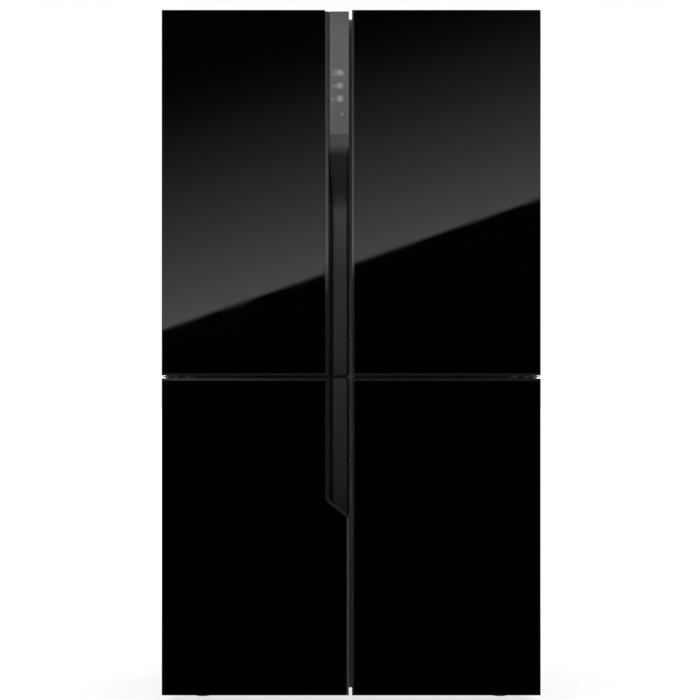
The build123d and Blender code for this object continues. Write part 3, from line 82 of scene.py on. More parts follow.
# A Mix node has sockets for each type of data; these are its share, its two colours, its result.
SHARE, FIRST, SECOND = 0, 6, 7
MIXED = 2


def colour(hex_code):
    """Linear colour of an sRGB hex value."""
    shown = [int(hex_code[i:i + 2], 16) / 255 for i in (1, 3, 5)]
    linear = [v / SRGB_FOOT_SLOPE if v <= SRGB_FOOT else ((v + SRGB_LIFT) / (1 + SRGB_LIFT)) ** SRGB_POWER
              for v in shown]
    return (*linear, 1.0)


def add(tree, kind, inputs=None, **settings):
    """Add a node with its settings; an input is a value, a socket, or a node for its first output."""
    made = tree.nodes.new(kind)
    for name, value in settings.items():
        setattr(made, name, value)
    for key, value in (inputs or {}).items():
        if isinstance(value, bpy.types.Node):
            value = value.outputs[0]
        if isinstance(value, bpy.types.NodeSocket):
            tree.links.new(value, made.inputs[key])
        else:
            made.inputs[key].default_value = value
    return made


def put(name, data):
    """New object in the scene for the data of a mesh, a lamp or a camera."""
    made = bpy.data.objects.new(name, data)
    bpy.context.scene.collection.objects.link(made)
    return made


def new_material(name):
    """Material without a shader yet, its tree, and the place of a point, in metres."""
    made = bpy.data.materials.new(name)
    made.use_nodes = True
    tree = made.node_tree
    tree.nodes.clear()
    return made, tree, add(tree, "ShaderNodeTexCoord").outputs["Object"]


def fade(tree, value, stops, ease="LINEAR"):
    """Colour that runs with a value through stops of (value, linear colour)."""
    low = stops[0][0]
    span = stops[-1][0] - low
    share = add(tree, "ShaderNodeMapRange", {"Value": value, "From Min": low, "From Max": low + span})
    ramp = add(tree, "ShaderNodeValToRGB", {"Fac": share})
    ramp.color_ramp.interpolation = ease
    for level, shade in stops[1:-1]:
        ramp.color_ramp.elements.new((level - low) / span)
    for element, (level, shade) in zip(ramp.color_ramp.elements, stops):
        element.color = shade
    return ramp


print("middle grey is", round(colour("#808080")[0], 3), "in linear light")

# %% [markdown]
# ## Camera
# The photograph is square on and nearly without perspective. An orthographic camera would lose
# the little depth that shows in the gaps, so a long lens stands far back instead. One pixel of
# the 700 px frame is 2.6 mm on the glass, and the lens is worked out from that.

# %% Camera
PIXEL = 2.5965 * MM
FRAME_PX = 700
AIM = Vector((-3.1 * MM, CAD_BOX[0].y, 916.9 * MM))
STAND_OFF = 6.0
SENSOR = 36.0
FAR_END = 200.0

lens = bpy.data.cameras.new("long_lens")
lens.sensor_width = SENSOR
lens.lens = SENSOR * STAND_OFF / (FRAME_PX * PIXEL)
lens.clip_end = FAR_END
camera = put("camera", lens)
camera.location = AIM - Vector((0, STAND_OFF, 0))
camera.rotation_euler = (math.pi / 2, 0, 0)
bpy.context.scene.camera = camera
bpy.context.scene.view_settings.view_transform = "Standard"
print("focal length", round(lens.lens, 1), "mm")

# %% [markdown]
# ## Studio
# The room is white and even. Black glass is a mirror, so what it shows is chosen, as a
# photographer does: behind the camera stands a card with a soft gradient that ends in a slanted
# edge, and round it hangs a dark cloth. Only reflections see these two, and they light nothing else.

# %% White room
ROOM_LIGHT = 0.72           # what the room gives to matt surfaces; seen or mirrored, it is white
world = bpy.data.worlds.new("white_room")
world.use_nodes = True
bpy.context.scene.world = world
sky = world.node_tree
sky.nodes.clear()
ray = add(sky, "ShaderNodeLightPath")
seen = ray.outputs["Is Camera Ray"]
for kind in ("Is Glossy Ray", "Is Transmission Ray"):
    seen = add(sky, "ShaderNodeMath", {0: seen, 1: ray.outputs[kind]}, operation="MAXIMUM")
level = add(sky, "ShaderNodeMapRange", {"Value": seen, "To Min": ROOM_LIGHT, "To Max": 1.0})
air = add(sky, "ShaderNodeBackground", {"Color": WHITE, "Strength": level})
add(sky, "ShaderNodeOutputWorld", {"Surface": air})
print("room light", ROOM_LIGHT)

# %% Soft boxes
# Name, place, aim, size in metres, power in watts, and whether mirrors show it: only the low one
# does, as a sheen on the zinc of the back.
DOOR_MIDDLE = (0, 0, 1.0)
SOFT_BOXES = (
    ("soft_box_left", (-3.2, -3.6, 3.8), DOOR_MIDDLE, 2.2, 90, False),
    ("soft_box_right", (3.6, -2.6, 3.0), DOOR_MIDDLE, 2.0, 45, False),
    ("soft_box_back", (1.8, 4.2, 3.6), DOOR_MIDDLE, 2.4, 60, False),
    ("soft_box_low", (0.42, 3.2, 0.6), (0.1, 0.3, 1.0), 1.2, 9, True),
)
for name, place, aim, size, power, mirrored in SOFT_BOXES:
    box = bpy.data.lights.new(name, "AREA")
    box.size = size
    box.energy = power
    made = put(name, box)
    made.location = place
    made.rotation_euler = (Vector(aim) - Vector(place)).to_track_quat("-Z", "Y").to_euler()
    made.visible_glossy = mirrored
print("soft boxes", len(SOFT_BOXES))

# %% Floor
# Paper takes the object's shadow close by, and grows to plain white away from it.
FLOOR_HALF = 30.0
FLOOR_Z = -0.3 * MM         # just clear of the feet
PAPER_GLOW = 1.25           # plain white, as the camera sees it
GLOW_UNDER = 0.6            # share of plain white under the object
GLOW_FROM, GLOW_TO = 0.9, 3.0


def sheet_of_stage(name, points, faces, finish):
    """Object for the studio with a new material, its tree, and the place of a point."""
    mesh = bpy.data.meshes.new(name)
    mesh.from_pydata(points, [], faces)
    material, tree, place = new_material(finish)
    mesh.materials.append(material)
    return put(name, mesh), tree, place


points = [(x * FLOOR_HALF, y * FLOOR_HALF, FLOOR_Z) for x, y in ((-1, -1), (1, -1), (1, 1), (-1, 1))]
floor, tree, place = sheet_of_stage("studio_floor", points, [(0, 1, 2, 3)], "white_paper")
ray = add(tree, "ShaderNodeLightPath")
matt = add(tree, "ShaderNodeBsdfDiffuse", {"Color": colour("#e6e6e6")})
glow = add(tree, "ShaderNodeEmission", {"Color": WHITE, "Strength": PAPER_GLOW})
away = add(tree, "ShaderNodeVectorMath", {0: place}, operation="LENGTH")
share = add(tree, "ShaderNodeMapRange", {
    "Value": away.outputs["Value"], "From Min": GLOW_FROM, "From Max": GLOW_TO, "To Min": GLOW_UNDER,
    "To Max": 1.0}, interpolation_type="SMOOTHSTEP")
white = add(tree, "ShaderNodeMixShader", {0: share, 1: matt, 2: glow})
shown = add(tree, "ShaderNodeMixShader", {0: ray.outputs["Is Camera Ray"], 1: matt, 2: white})
add(tree, "ShaderNodeOutputMaterial", {"Surface": shown})
floor.visible_glossy = False
floor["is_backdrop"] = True
print("floor", 2 * FLOOR_HALF, "m wide")

# %% Reflection card
# The card stands at CARD_Y, behind the camera. A mirror spreads the frame over it by SPREAD, so
# its gradient can be written in the frame's own columns and rows.
CARD_Y = -9.0
CARD_CORNERS = ((-3.4, -2.4), (3.4, -2.4), (3.4, 4.4), (-3.4, 4.4))
SPREAD = (STAND_OFF + AIM.y - CARD_Y) / STAND_OFF
CARD_PX = PIXEL * SPREAD
points = [(x, CARD_Y, z) for x, z in CARD_CORNERS]
card, tree, place = sheet_of_stage("reflection_card", points, [(0, 1, 2, 3)], "gradient_card")
where = add(tree, "ShaderNodeSeparateXYZ", {0: place}).outputs
pixel = {}
for axis, middle, way in (("X", AIM.x, 1), ("Z", AIM.z, -1)):
    pixel[axis] = add(tree, "ShaderNodeMapRange", {
        "Value": where[axis], "From Min": middle, "From Max": middle + CARD_PX,
        "To Min": FRAME_PX / 2, "To Max": FRAME_PX / 2 + way}, clamp=False)
column, row = pixel["X"], pixel["Z"]
print("card pixel", round(CARD_PX / MM, 2), "mm")

# %% Gradient of the card
# Shades are levels of 255, as the glass shows them, and the sRGB curve turns them to light.
PER_COLUMN, PER_ROW, AT_CORNER = 0.08, 0.282, -34.2
DARKEST = 1.0
EASE_OUT = 9.0              # levels over which the gradient runs out into the darkest shade
ENAMEL_LIGHT = 0.0006       # what the black enamel sends back by itself, so the card leaves it out
across = add(tree, "ShaderNodeMath", {0: column, 1: PER_COLUMN, 2: AT_CORNER}, operation="MULTIPLY_ADD")
shade = add(tree, "ShaderNodeMath", {0: row, 1: PER_ROW, 2: across}, operation="MULTIPLY_ADD")
shade = add(tree, "ShaderNodeMath", {0: shade, 1: DARKEST, 2: EASE_OUT}, operation="SMOOTH_MAX")
curve = add(tree, "ShaderNodeMath", {
    0: shade, 1: 1 / (255 * (1 + SRGB_LIFT)), 2: SRGB_LIFT / (1 + SRGB_LIFT)},
    operation="MULTIPLY_ADD")
light = add(tree, "ShaderNodeMath", {0: curve, 1: SRGB_POWER}, operation="POWER")
light = add(tree, "ShaderNodeMath", {0: light, 1: ENAMEL_LIGHT}, operation="SUBTRACT")
print("gradient", PER_COLUMN, PER_ROW, "levels per pixel")

# %% Slanted edge of the card
GLASS_MIRROR = 0.0426       # share of light that glass sends back when seen square on
EDGE_COLUMN, EDGE_ROW = 170, 327    # a point on the edge
EDGE_SLOPE = -0.348         # rows per column
EDGE_SOFT = 2.5             # rows from full to half
edge_row = EDGE_ROW - EDGE_SLOPE * EDGE_COLUMN
level = add(tree, "ShaderNodeMath", {0: column, 1: -EDGE_SLOPE, 2: row}, operation="MULTIPLY_ADD")
lit = add(tree, "ShaderNodeMapRange", {
    "Value": level, "From Min": edge_row - EDGE_SOFT, "From Max": edge_row + EDGE_SOFT,
    "To Min": 1 / GLASS_MIRROR, "To Max": 0.0}, interpolation_type="SMOOTHSTEP")
light = add(tree, "ShaderNodeMath", {0: light, 1: lit}, operation="MULTIPLY")
glow = add(tree, "ShaderNodeEmission", {"Color": WHITE, "Strength": light})
# Past what the front view mirrors, the card fades away to the cloth behind it.
CARD_FADE = (("X", 0.0, 1.6), ("Z", AIM.z, 2.3))    # axis, middle, and where its fade starts
FADE_END = 3.3
solid = 1.0
for axis, middle, start in CARD_FADE:
    off = add(tree, "ShaderNodeMath", {0: where[axis], 1: middle}, operation="SUBTRACT")
    off = add(tree, "ShaderNodeMath", {0: off}, operation="ABSOLUTE")
    near = add(tree, "ShaderNodeMapRange", {
        "Value": off, "From Min": start, "From Max": FADE_END, "To Min": 1.0, "To Max": 0.0},
        interpolation_type="SMOOTHSTEP")
    solid = add(tree, "ShaderNodeMath", {0: solid, 1: near}, operation="MULTIPLY")
through = add(tree, "ShaderNodeBsdfTransparent")
both = add(tree, "ShaderNodeMixShader", {0: solid, 1: through, 2: glow})
add(tree, "ShaderNodeOutputMaterial", {"Surface": both})
print("edge meets the frame's left side at row", round(edge_row))

# %% Dark cloth
# From a corner or from above, the glass mirrors what is round the card and below it, past the
# floor, which reflections don't see. A curved cloth hangs there, darkest well below the floor, where
# views from above look, and lighter upwards. It fades into the white room at its ends. So black
# glass stays black from those sides and has a soft sheen.
CLOTH_R = 9.6
CLOTH_TURN = 85             # degrees to each side
CLOTH_STEPS = 34
CLOTH_ENDS = (-0.4 * CLOTH_R, -0.1 * CLOTH_R)   # where it fades into the room, along Y
CLOTH_FADE = ((-16.0, 0.35), (-9.0, 0.10), (-5.0, 0.04), (-3.0, 0.09), (-1.5, 0.25), (0.0, 0.55),
              (1.8, 0.80), (7.0, 1.0))          # height in metres and brightness
points = []
for i in range(CLOTH_STEPS + 1):
    turn = math.radians(CLOTH_TURN * (2 * i / CLOTH_STEPS - 1))
    points += [(CLOTH_R * math.sin(turn), -CLOTH_R * math.cos(turn), CLOTH_FADE[end][0]) for end in (0, -1)]
faces = [(2 * i, 2 * i + 2, 2 * i + 3, 2 * i + 1) for i in range(CLOTH_STEPS)]
cloth, tree, place = sheet_of_stage("dark_cloth", points, faces, "dark_cloth")
where = add(tree, "ShaderNodeSeparateXYZ", {0: place}).outputs
grey = fade(tree, where["Z"], [(z, (level, level, level, 1)) for z, level in CLOTH_FADE], "EASE")
ends = add(tree, "ShaderNodeMapRange", {
    "Value": where["Y"], "From Min": CLOTH_ENDS[0], "From Max": CLOTH_ENDS[1]},
    interpolation_type="SMOOTHSTEP")
both = add(tree, "ShaderNodeMix", {SHARE: ends, FIRST: grey, SECOND: WHITE}, data_type="RGBA")
glow = add(tree, "ShaderNodeEmission", {"Color": both.outputs[MIXED], "Strength": 1.0})
add(tree, "ShaderNodeOutputMaterial", {"Surface": glow})
for staged in (card, cloth):
    for kind in ("camera", "diffuse", "shadow", "transmission"):
        setattr(staged, f"visible_{kind}", False)
    staged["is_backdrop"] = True
print("cloth faces", len(faces))

# %% [markdown]
# ## Finishes
# Most parts are moulded plastic or coated steel. Both have a faint grain that breaks up a
# highlight, in two near shades and two near glosses. One function makes these, with the size of
# the grain in millimetres: real grain is mostly too fine to show, so it is drawn coarser, at one
# to five. Where one moulding has more than one look, a small function of its own changes the
# colour by place, which is simpler than cutting a mesh into material slots. On the door edges and
# the grips these changes are mostly painted light and shade.

# %% Grained finish
GRAIN_LOW, GRAIN_HIGH = 0.3, 0.7    # stretch of the noise between the two shades
GLOSS_SPREAD = 0.03                 # the gloss varies by this share


def coat(tree, inputs):
    """Close a finish with its shader, whose inputs are values or sockets."""
    shader = add(tree, "ShaderNodeBsdfPrincipled", inputs)
    add(tree, "ShaderNodeOutputMaterial", {"Surface": shader})


def grained(name, light, dark, roughness, grain, depth, metal=0.0, change=None):
    """Two near shades in a grain with a bump, both in mm; a change gives shader inputs by place."""
    made, tree, place = new_material(name)
    grit = add(tree, "ShaderNodeTexNoise", {"Vector": place, "Scale": 1 / (grain * MM), "Detail": 3.0})
    shade = fade(tree, grit, ((GRAIN_LOW, colour(dark)), (GRAIN_HIGH, colour(light))))
    gloss = add(tree, "ShaderNodeMapRange", {
        "Value": grit, "From Min": GRAIN_LOW, "From Max": GRAIN_HIGH,
        "To Min": roughness * (1 - GLOSS_SPREAD), "To Max": roughness * (1 + GLOSS_SPREAD)})
    bump = add(tree, "ShaderNodeBump", {"Height": grit, "Distance": depth * MM})
    inputs = {"Base Color": shade, "Roughness": gloss, "Normal": bump, "Metallic": metal}
    if change:
        inputs.update(change(tree, add(tree, "ShaderNodeSeparateXYZ", {0: place}).outputs, shade))
    coat(tree, inputs)
    return made


def by_height(stops):
    """Stops of (height in mm, hex colour) as metres and linear colours."""
    return [(height * MM, colour(shade)) for height, shade in stops]


print("gloss varies by", GLOSS_SPREAD)

# %% Door edges
# Black ABS of the door edges, moulded in a polished tool, so that it mirrors softly. Mouldings along
# the free edges are painted lighter: a dark grey painted highlight on the left, and on the right a
# painted reflection that is darker below. The upper lip of the lower left door is painted lighter
# towards its hinge, which is painted light, and end caps meet in dark seams.
GAP_X = -2.0 * MM           # middle of the gap between the columns
MOULDING_X = 12.5 * MM
# Painted reflection along the right mouldings: height in mm and colour.
MOULDING_PAINTED_REFLECTION = ((1100, "#212122"), (1150, "#464647"), (1750, "#2e2e2f"))
# The lip of the lower left door is painted lighter towards its hinge: painted light.
LIP_Z = 840.5 * MM
LIP_HALF = 2.8 * MM
LIP_FROM, LIP_TO = -80 * MM, -420 * MM      # it grows lighter from the first X to the second
SEAMS = (48, 815, 879, 1772)        # heights in mm
SEAM_HALF = 0.5 * MM


def edge_painted_light_and_seams(tree, where, plain):
    """Painted highlight and reflection on the mouldings, painted light on the lip, and the seams."""
    free = add(tree, "ShaderNodeMath", {0: where["X"], 1: 0.0, 2: MOULDING_X}, operation="COMPARE")
    right = add(tree, "ShaderNodeMath", {0: where["X"], 1: GAP_X}, operation="GREATER_THAN")
    # Painted reflection on the right mouldings, by height.
    run = fade(tree, where["Z"], by_height(MOULDING_PAINTED_REFLECTION))
    lip = add(tree, "ShaderNodeMath", {0: where["Z"], 1: LIP_Z, 2: LIP_HALF}, operation="COMPARE")
    # Painted light on the lip, growing lighter towards the hinge.
    hinge = add(tree, "ShaderNodeMapRange", {"Value": where["X"], "From Min": LIP_FROM, "From Max": LIP_TO})
    lip = add(tree, "ShaderNodeMath", {0: lip, 1: hinge}, operation="MULTIPLY")
    seam = 0.0
    for height in SEAMS:
        line = add(tree, "ShaderNodeMath", {0: where["Z"], 1: height * MM, 2: SEAM_HALF}, operation="COMPARE")
        seam = add(tree, "ShaderNodeMath", {0: seam, 1: line}, operation="MAXIMUM")
    # Painted highlight on the left mouldings, painted reflection on the right.
    grey = add(tree, "ShaderNodeMix", {
        SHARE: right, FIRST: colour("#3d3d3e"), SECOND: run}, data_type="RGBA").outputs[MIXED]
    for share, tint in ((free, grey), (lip, colour("#343435")), (seam, colour("#050505"))):
        plain = add(tree, "ShaderNodeMix", {
            SHARE: share, FIRST: plain, SECOND: tint}, data_type="RGBA").outputs[MIXED]
    return {"Base Color": plain}


abs_black = grained("abs_black_gloss", "#1e1e1f", "#19191a", 0.06, 1.2, 0.001, change=edge_painted_light_and_seams)
print("seams", len(SEAMS))

# %% Plastics and rubber
# Grey polyamide of rollers, spacers and the tray, dull and a little mottled.
pa_grey = grained("polyamide_grey", "#6d7073", "#64676a", 0.5, 1.6, 0.03)
# Black polypropylene of fans, shroud, feet and hinge caps, with the satin of a spark-eroded tool.
pp_black = grained("polypropylene_black", "#1e1e1f", "#171718", 0.45, 1.5, 0.02)
# White high-impact polystyrene, vacuum-formed over a polished tool, so it has a soft gloss.
hips_white = grained("hips_white_liner", "#e9ebec", "#e1e4e5", 0.28, 5.0, 0.02)
# White ABS of shelf and bin trims, a little glossier than the liners.
abs_white = grained("abs_white_trim", "#f0f1f1", "#e9eaea", 0.22, 4.0, 0.01)
# Soft grey PVC of the door seals, extruded, with hardly a highlight.
pvc_grey = grained("pvc_seal_grey", "#8b8d8f", "#808284", 0.55, 2.0, 0.02)
# EPDM rubber of mounts and gland, dead matt.
rubber = grained("epdm_rubber", "#1f1f1f", "#191919", 0.7, 1.0, 0.03)
# Polyurethane foam, seen only in a cut-away: cream, with fine cells.
foam = grained("polyurethane_foam", "#e0cf9c", "#cdb987", 0.9, 2.5, 0.3)
print("materials", len(bpy.data.materials))

# %% Steel and aluminium
# The coil coating is light on the frame that the doors close against, and on the flanges of the
# cabinet in the same plane.
FLANGE_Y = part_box("cabinet_wrapper")[0].y
FLANGE_HALF = 0.3 * MM


def pale_flange(tree, where, plain):
    """Colour of the cabinet, light grey on the flanges that face the doors."""
    front = add(tree, "ShaderNodeMath", {0: where["Y"], 1: FLANGE_Y, 2: FLANGE_HALF}, operation="COMPARE")
    both = add(tree, "ShaderNodeMix", {
        SHARE: front, FIRST: plain, SECOND: colour("#9ea0a2")}, data_type="RGBA")
    return {"Base Color": both.outputs[MIXED]}


# Pre-painted steel of the cabinet: dark grey with the fine orange peel of a coil coating.
steel_painted = grained("painted_steel_dark", "#39393b", "#343436", 0.36, 2.6, 0.012, change=pale_flange)
# The same coil coating in light grey.
steel_frame = grained("painted_steel_light", "#a2a4a6", "#999b9d", 0.4, 2.6, 0.012)
# A coarser coating on the cover of the machine compartment and on the hinge brackets.
steel_cover = grained("painted_steel_cover", "#707274", "#67696b", 0.5, 3.2, 0.03)
# Screws with a black passivation over zinc, so that only their edges glint.
screw_steel = grained("black_zinc_screw", "#4a4b4d", "#3c3d3f", 0.35, 1.0, 0.01, metal=1.0)
# Black-enamelled tube and pot in the machine compartment, glossy and a little wavy.
steel_enamel = grained("enamelled_steel_black", "#19191a", "#131314", 0.25, 3.0, 0.015)
# Mill-finish aluminium of fins and the hem, bright with a soft sheen.
aluminium = grained("aluminium_mill", "#c9cbcd", "#bcbec0", 0.34, 0.9, 0.01, metal=1.0)
print("materials", len(bpy.data.materials))

# %% Glass and clear plastic
GLASS_IOR = 1.52
POLYSTYRENE_IOR = 1.59


def glassy(name, tint, ior, through, patch, gloss, span=(0.0, 1.0), bump=0.0):
    """Glass or clear plastic whose gloss, and any bump, vary in patches of so many millimetres."""
    made, tree, place = new_material(name)
    haze = add(tree, "ShaderNodeTexNoise", {"Vector": place, "Scale": 1 / (patch * MM), "Detail": 2.0})
    rough = add(tree, "ShaderNodeMapRange", {
        "Value": haze, "From Min": span[0], "From Max": span[1], "To Min": gloss[0], "To Max": gloss[1]})
    inputs = {"Base Color": colour(tint), "IOR": ior, "Transmission Weight": through, "Roughness": rough}
    if bump:
        inputs["Normal"] = add(tree, "ShaderNodeBump", {"Height": haze, "Distance": bump * MM})
    coat(tree, inputs)
    return made


# Toughened float glass with black enamel fired on its back: a mirror of 4 %, and black below.
glass_black = glassy("toughened_glass_black", "#010101", GLASS_IOR, 0.0, 90, (0.012, 0.03), (0.35, 0.7))
# Clear float glass of the shelves, green in its depth.
glass_clear = glassy("float_glass_clear", "#f8fcfa", GLASS_IOR, 1.0, 60, (0.01, 0.05))
# Crystal polystyrene: door bins are clear, and drawers are frosted by a textured tool, so that
# they glow a little and hide what they hold.
gpps_clear = glassy("polystyrene_clear", "#f5f9fa", POLYSTYRENE_IOR, 0.85, 2, (0.06, 0.14), bump=0.01)
gpps_frosted = glassy("polystyrene_frosted", "#f3f7f8", POLYSTYRENE_IOR, 0.45, 2, (0.2, 0.34), bump=0.01)
print("materials", len(bpy.data.materials))

# %% Zinc, lens, board and ink
# Hot-dip galvanised sheet, with its spangle of zinc crystals about 9 mm across.
SPANGLE = 9 * MM
zinc, tree, place = new_material("galvanised_steel")
cells = add(tree, "ShaderNodeTexVoronoi", {"Vector": place, "Scale": 1 / SPANGLE})
grey = add(tree, "ShaderNodeRGBToBW", {0: cells.outputs["Color"]})
gloss = add(tree, "ShaderNodeMapRange", {"Value": cells.outputs["Distance"], "To Min": 0.38, "To Max": 0.55})
shade = fade(tree, grey, ((0.0, colour("#aeb1b3")), (1.0, colour("#bfc2c4"))))
coat(tree, {"Base Color": shade, "Roughness": gloss, "Metallic": 1.0})

# Opal acrylic lens over the lamps, prismed in rows of about 8 mm, lit from behind.
LENS_ROW = 7.9 * MM
WAVE = math.tau / 20        # length of one wave of the texture at scale 1
lens_opal, tree, place = new_material("acrylic_opal_lens")
rows = add(tree, "ShaderNodeTexWave", {"Vector": place, "Scale": WAVE / LENS_ROW}, bands_direction="X")
bump = add(tree, "ShaderNodeBump", {"Height": rows.outputs["Fac"], "Distance": 0.4 * MM})
glow = add(tree, "ShaderNodeMapRange", {"Value": rows.outputs["Fac"], "To Min": 6.0, "To Max": 8.0})
coat(tree, {"Base Color": colour("#f2f4f2"), "Roughness": 0.3, "Normal": bump,
            "Emission Color": colour("#fdfbf4"), "Emission Strength": glow})

# Glass-fibre board with its copper tracks under green resist.
TRACK_FIELD = 12 * MM
board, tree, place = new_material("circuit_board_green")
tracks = add(tree, "ShaderNodeTexBrick", {
    "Vector": place, "Scale": 1 / TRACK_FIELD, "Mortar Size": 0.03, "Color1": colour("#1e5a35"),
    "Color2": colour("#1a5230"), "Mortar": colour("#3f8a55")})
coat(tree, {"Base Color": tracks, "Roughness": 0.35})

# Light grey ink of the signs' cores, partly painted glow of the light behind them, and a fainter
# grey for the haloes, which is painted glow of the light that spreads in the sheet.
core_ink_and_glow = grained("sign_core_ink_and_glow", "#8a8a8a", "#808080", 0.4, 1.0, 0.0)
halo_painted_glow = grained("sign_halo_painted_glow", "#6b6b6c", "#666667", 0.4, 1.0, 0.0)
print("materials", len(bpy.data.materials))

# %% [markdown]
# ## The faded strip
# The strip from the display down to the end of the grip is one look: a fade from the grey of the
# display to near black in the grip, a little lighter where the upper grip starts. Along the grips
# the fade is painted light and shade. A fade along the height is a colour ramp on the Z of the
# object, so it stays on the moulding from every side. The lip beside the glass is polished, the
# rest satin, and its colour grows lighter upwards as a painted reflection.

# %% Faded finishes of the strip
# On the grips the fade is painted light and shade: lightest on the bevel under the display and at
# the foot of the ramp, and darkest where the two grips meet and at the lower end. The display is a
# little darker towards its top.
GRIP_PAINTED_SHADING = ((480, "#1b1b1b"), (620, "#242424"), (842, "#292929"), (852, "#1d1d1d"), (945, "#262626"),
             (1125, "#252525"), (1280, "#3a3a3a"), (1330, "#212121"), (1425, "#202020"), (1450, "#474747"))
DISPLAY_FADE = ((1480, "#59595a"), (1640, "#5a5b5b"), (1740, "#525253"), (1796, "#474748"))
# Painted reflection on the polished lip, lighter upwards.
GRIP_LIP_PAINTED_REFLECTION = ((1050, "#191919"), (1150, "#343434"))
GRIP_LIP_X = -59.4 * MM     # inner edge of the polished lip
GRIP_LIP_BLEND = 0.2 * MM
SATIN, POLISHED = 0.22, 0.06
FADE_GRAIN = ("#ffffff", "#e8e8e8")    # the fade is multiplied by these


def height_fade(tree, where, grit, stops):
    """Colour that runs with the height under a fine grain."""
    shade = fade(tree, where["Z"], by_height(stops))
    both = add(tree, "ShaderNodeMix", {SHARE: 1.0, FIRST: grit, SECOND: shade}, data_type="RGBA",
               blend_type="MULTIPLY")
    return both.outputs[MIXED]


def grip_strip(tree, where, grit):
    """Painted shading of the grips, with the polished lip and its painted reflection."""
    strip = height_fade(tree, where, grit, GRIP_PAINTED_SHADING)
    lip = add(tree, "ShaderNodeMapRange", {
        "Value": where["X"], "From Min": GRIP_LIP_X - GRIP_LIP_BLEND, "From Max": GRIP_LIP_X,
        "To Min": 1.0, "To Max": 0.0})
    polish = add(tree, "ShaderNodeMapRange", {"Value": lip, "To Min": SATIN, "To Max": POLISHED})
    # The polished lip takes the painted reflection.
    tint = fade(tree, where["Z"], by_height(GRIP_LIP_PAINTED_REFLECTION))
    both = add(tree, "ShaderNodeMix", {SHARE: lip, FIRST: strip, SECOND: tint}, data_type="RGBA")
    return {"Base Color": both.outputs[MIXED], "Roughness": polish}


def display_fade(tree, where, grit):
    """Fade of the display."""
    return {"Base Color": height_fade(tree, where, grit, DISPLAY_FADE)}


# Dark grey ABS of the grips, satin, so that it blurs what it mirrors; its fade is painted shading.
abs_grip = grained("abs_grip_grey", *FADE_GRAIN, SATIN, 1.4, 0.004, change=grip_strip)
# Grey acrylic of the touch display, satin too.
acrylic_grey = grained("acrylic_display_grey", *FADE_GRAIN, 0.3, 2.0, 0.004, change=display_fade)
print("materials", len(bpy.data.materials))

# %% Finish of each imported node
NODES_OF = (
    (steel_painted, "cabinet_wrapper"),
    (steel_frame, "base_plate front_cross_frame"),
    (steel_cover, "machine_cover hinge_brackets"),
    (steel_enamel, "compressor condenser_coil"),
    (zinc, "back_panel roller_axles hinge_pins hinge_screws"),
    (aluminium, "evaporator_coil"),
    (hips_white, "fridge_liners freezer_liners air_duct_covers"),
    (pp_black, "evaporator_fan condenser_fan fan_shroud hinge_covers front_foot_left front_foot_right"),
    (pa_grey, "drip_tray wall_spacers rear_roller_left rear_roller_right"),
    (rubber, "compressor_mounts cord_gland"),
    (foam, "insulation_foam"),
    (glass_clear, "glass_shelves"),
    (gpps_clear, "upper_left_bins upper_right_bins"),
    (lens_opal, "light_covers"),
    (board, "control_board"),
    (abs_grip, "upper_grip lower_grip"),
    (acrylic_grey, "display_panel"),
)
DRAWERS = [f"crisper_{word}" for word, side in SIDES]
DRAWERS += [f"freezer_drawer_{tier}_{word}" for tier in ("bottom", "middle", "top") for word, side in SIDES]
FINISH = {node: finish for finish, nodes in NODES_OF for node in nodes.split()}
FINISH.update({drawer: gpps_frosted for drawer in DRAWERS})
for door in DOORS:
    FINISH[f"{door}_core"] = abs_black
    FINISH[f"{door}_glass"] = glass_black
    FINISH[f"{door}_liner"] = hips_white
    FINISH[f"{door}_gasket"] = pvc_grey
for node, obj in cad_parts.items():
    obj.data.materials.clear()
    obj.data.materials.append(FINISH[node])
print("dressed nodes", len(FINISH))

# %% [markdown]
# ## Making a piece
# A new piece sits at the origin with its place in its mesh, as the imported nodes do. The fine
# parts are nearly all extrusions, so a few helpers make them: an outline drawn out straight, and
# a section carried round a rectangle. Curves with a bevel could do this too, but their ends and
# corners have to be mended afterwards. Here bmesh turns the faces outwards and rounds the edges.
# Outlines and sections are written in millimetres.

# %% Piece and its mesh
SHARP = math.radians(35)
SAME_POINT = 0.001 * MM
EDGE_STEPS = 2              # faces across a rounded edge


def piece(name, mesh, body, material):
    """Object of a finished mesh that moves with a body."""
    mesh.materials.clear()
    mesh.materials.append(material)
    made = put(name, mesh)
    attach(made, body)
    return made


def shape(name, parts, edge=0.0):
    """Mesh of one or more (points, faces), turned outwards, its sharp edges rounded by edge."""
    work = bmesh.new()
    for points, faces in parts:
        corners = [work.verts.new(point) for point in points]
        for face in faces:
            work.faces.new([corners[i] for i in face])
    bmesh.ops.remove_doubles(work, verts=work.verts, dist=SAME_POINT)
    bmesh.ops.recalc_face_normals(work, faces=work.faces)
    if edge:
        sharp = [e for e in work.edges if len(e.link_faces) == 2 and e.calc_face_angle(0) > SHARP]
        bmesh.ops.bevel(work, geom=sharp, offset=edge, offset_type="OFFSET", segments=EDGE_STEPS, profile=0.5,
                        affect="EDGES", clamp_overlap=True)
    mesh = bpy.data.meshes.new(name)
    work.to_mesh(mesh)
    work.free()
    mesh.polygons.foreach_set("use_smooth", [True] * len(mesh.polygons))
    mesh.set_sharp_from_angle(angle=SHARP)
    return mesh


print("edges are sharp from", round(math.degrees(SHARP)), "degrees")


# %% Bar and ring
def along_x(along, u, v):
    """Place of an outline's point when it is drawn out along X."""
    return (along, u, v)


def along_y(along, u, v):
    """The same along Y."""
    return (u, along, v)


def along_z(along, u, v):
    """The same along Z."""
    return (u, v, along)


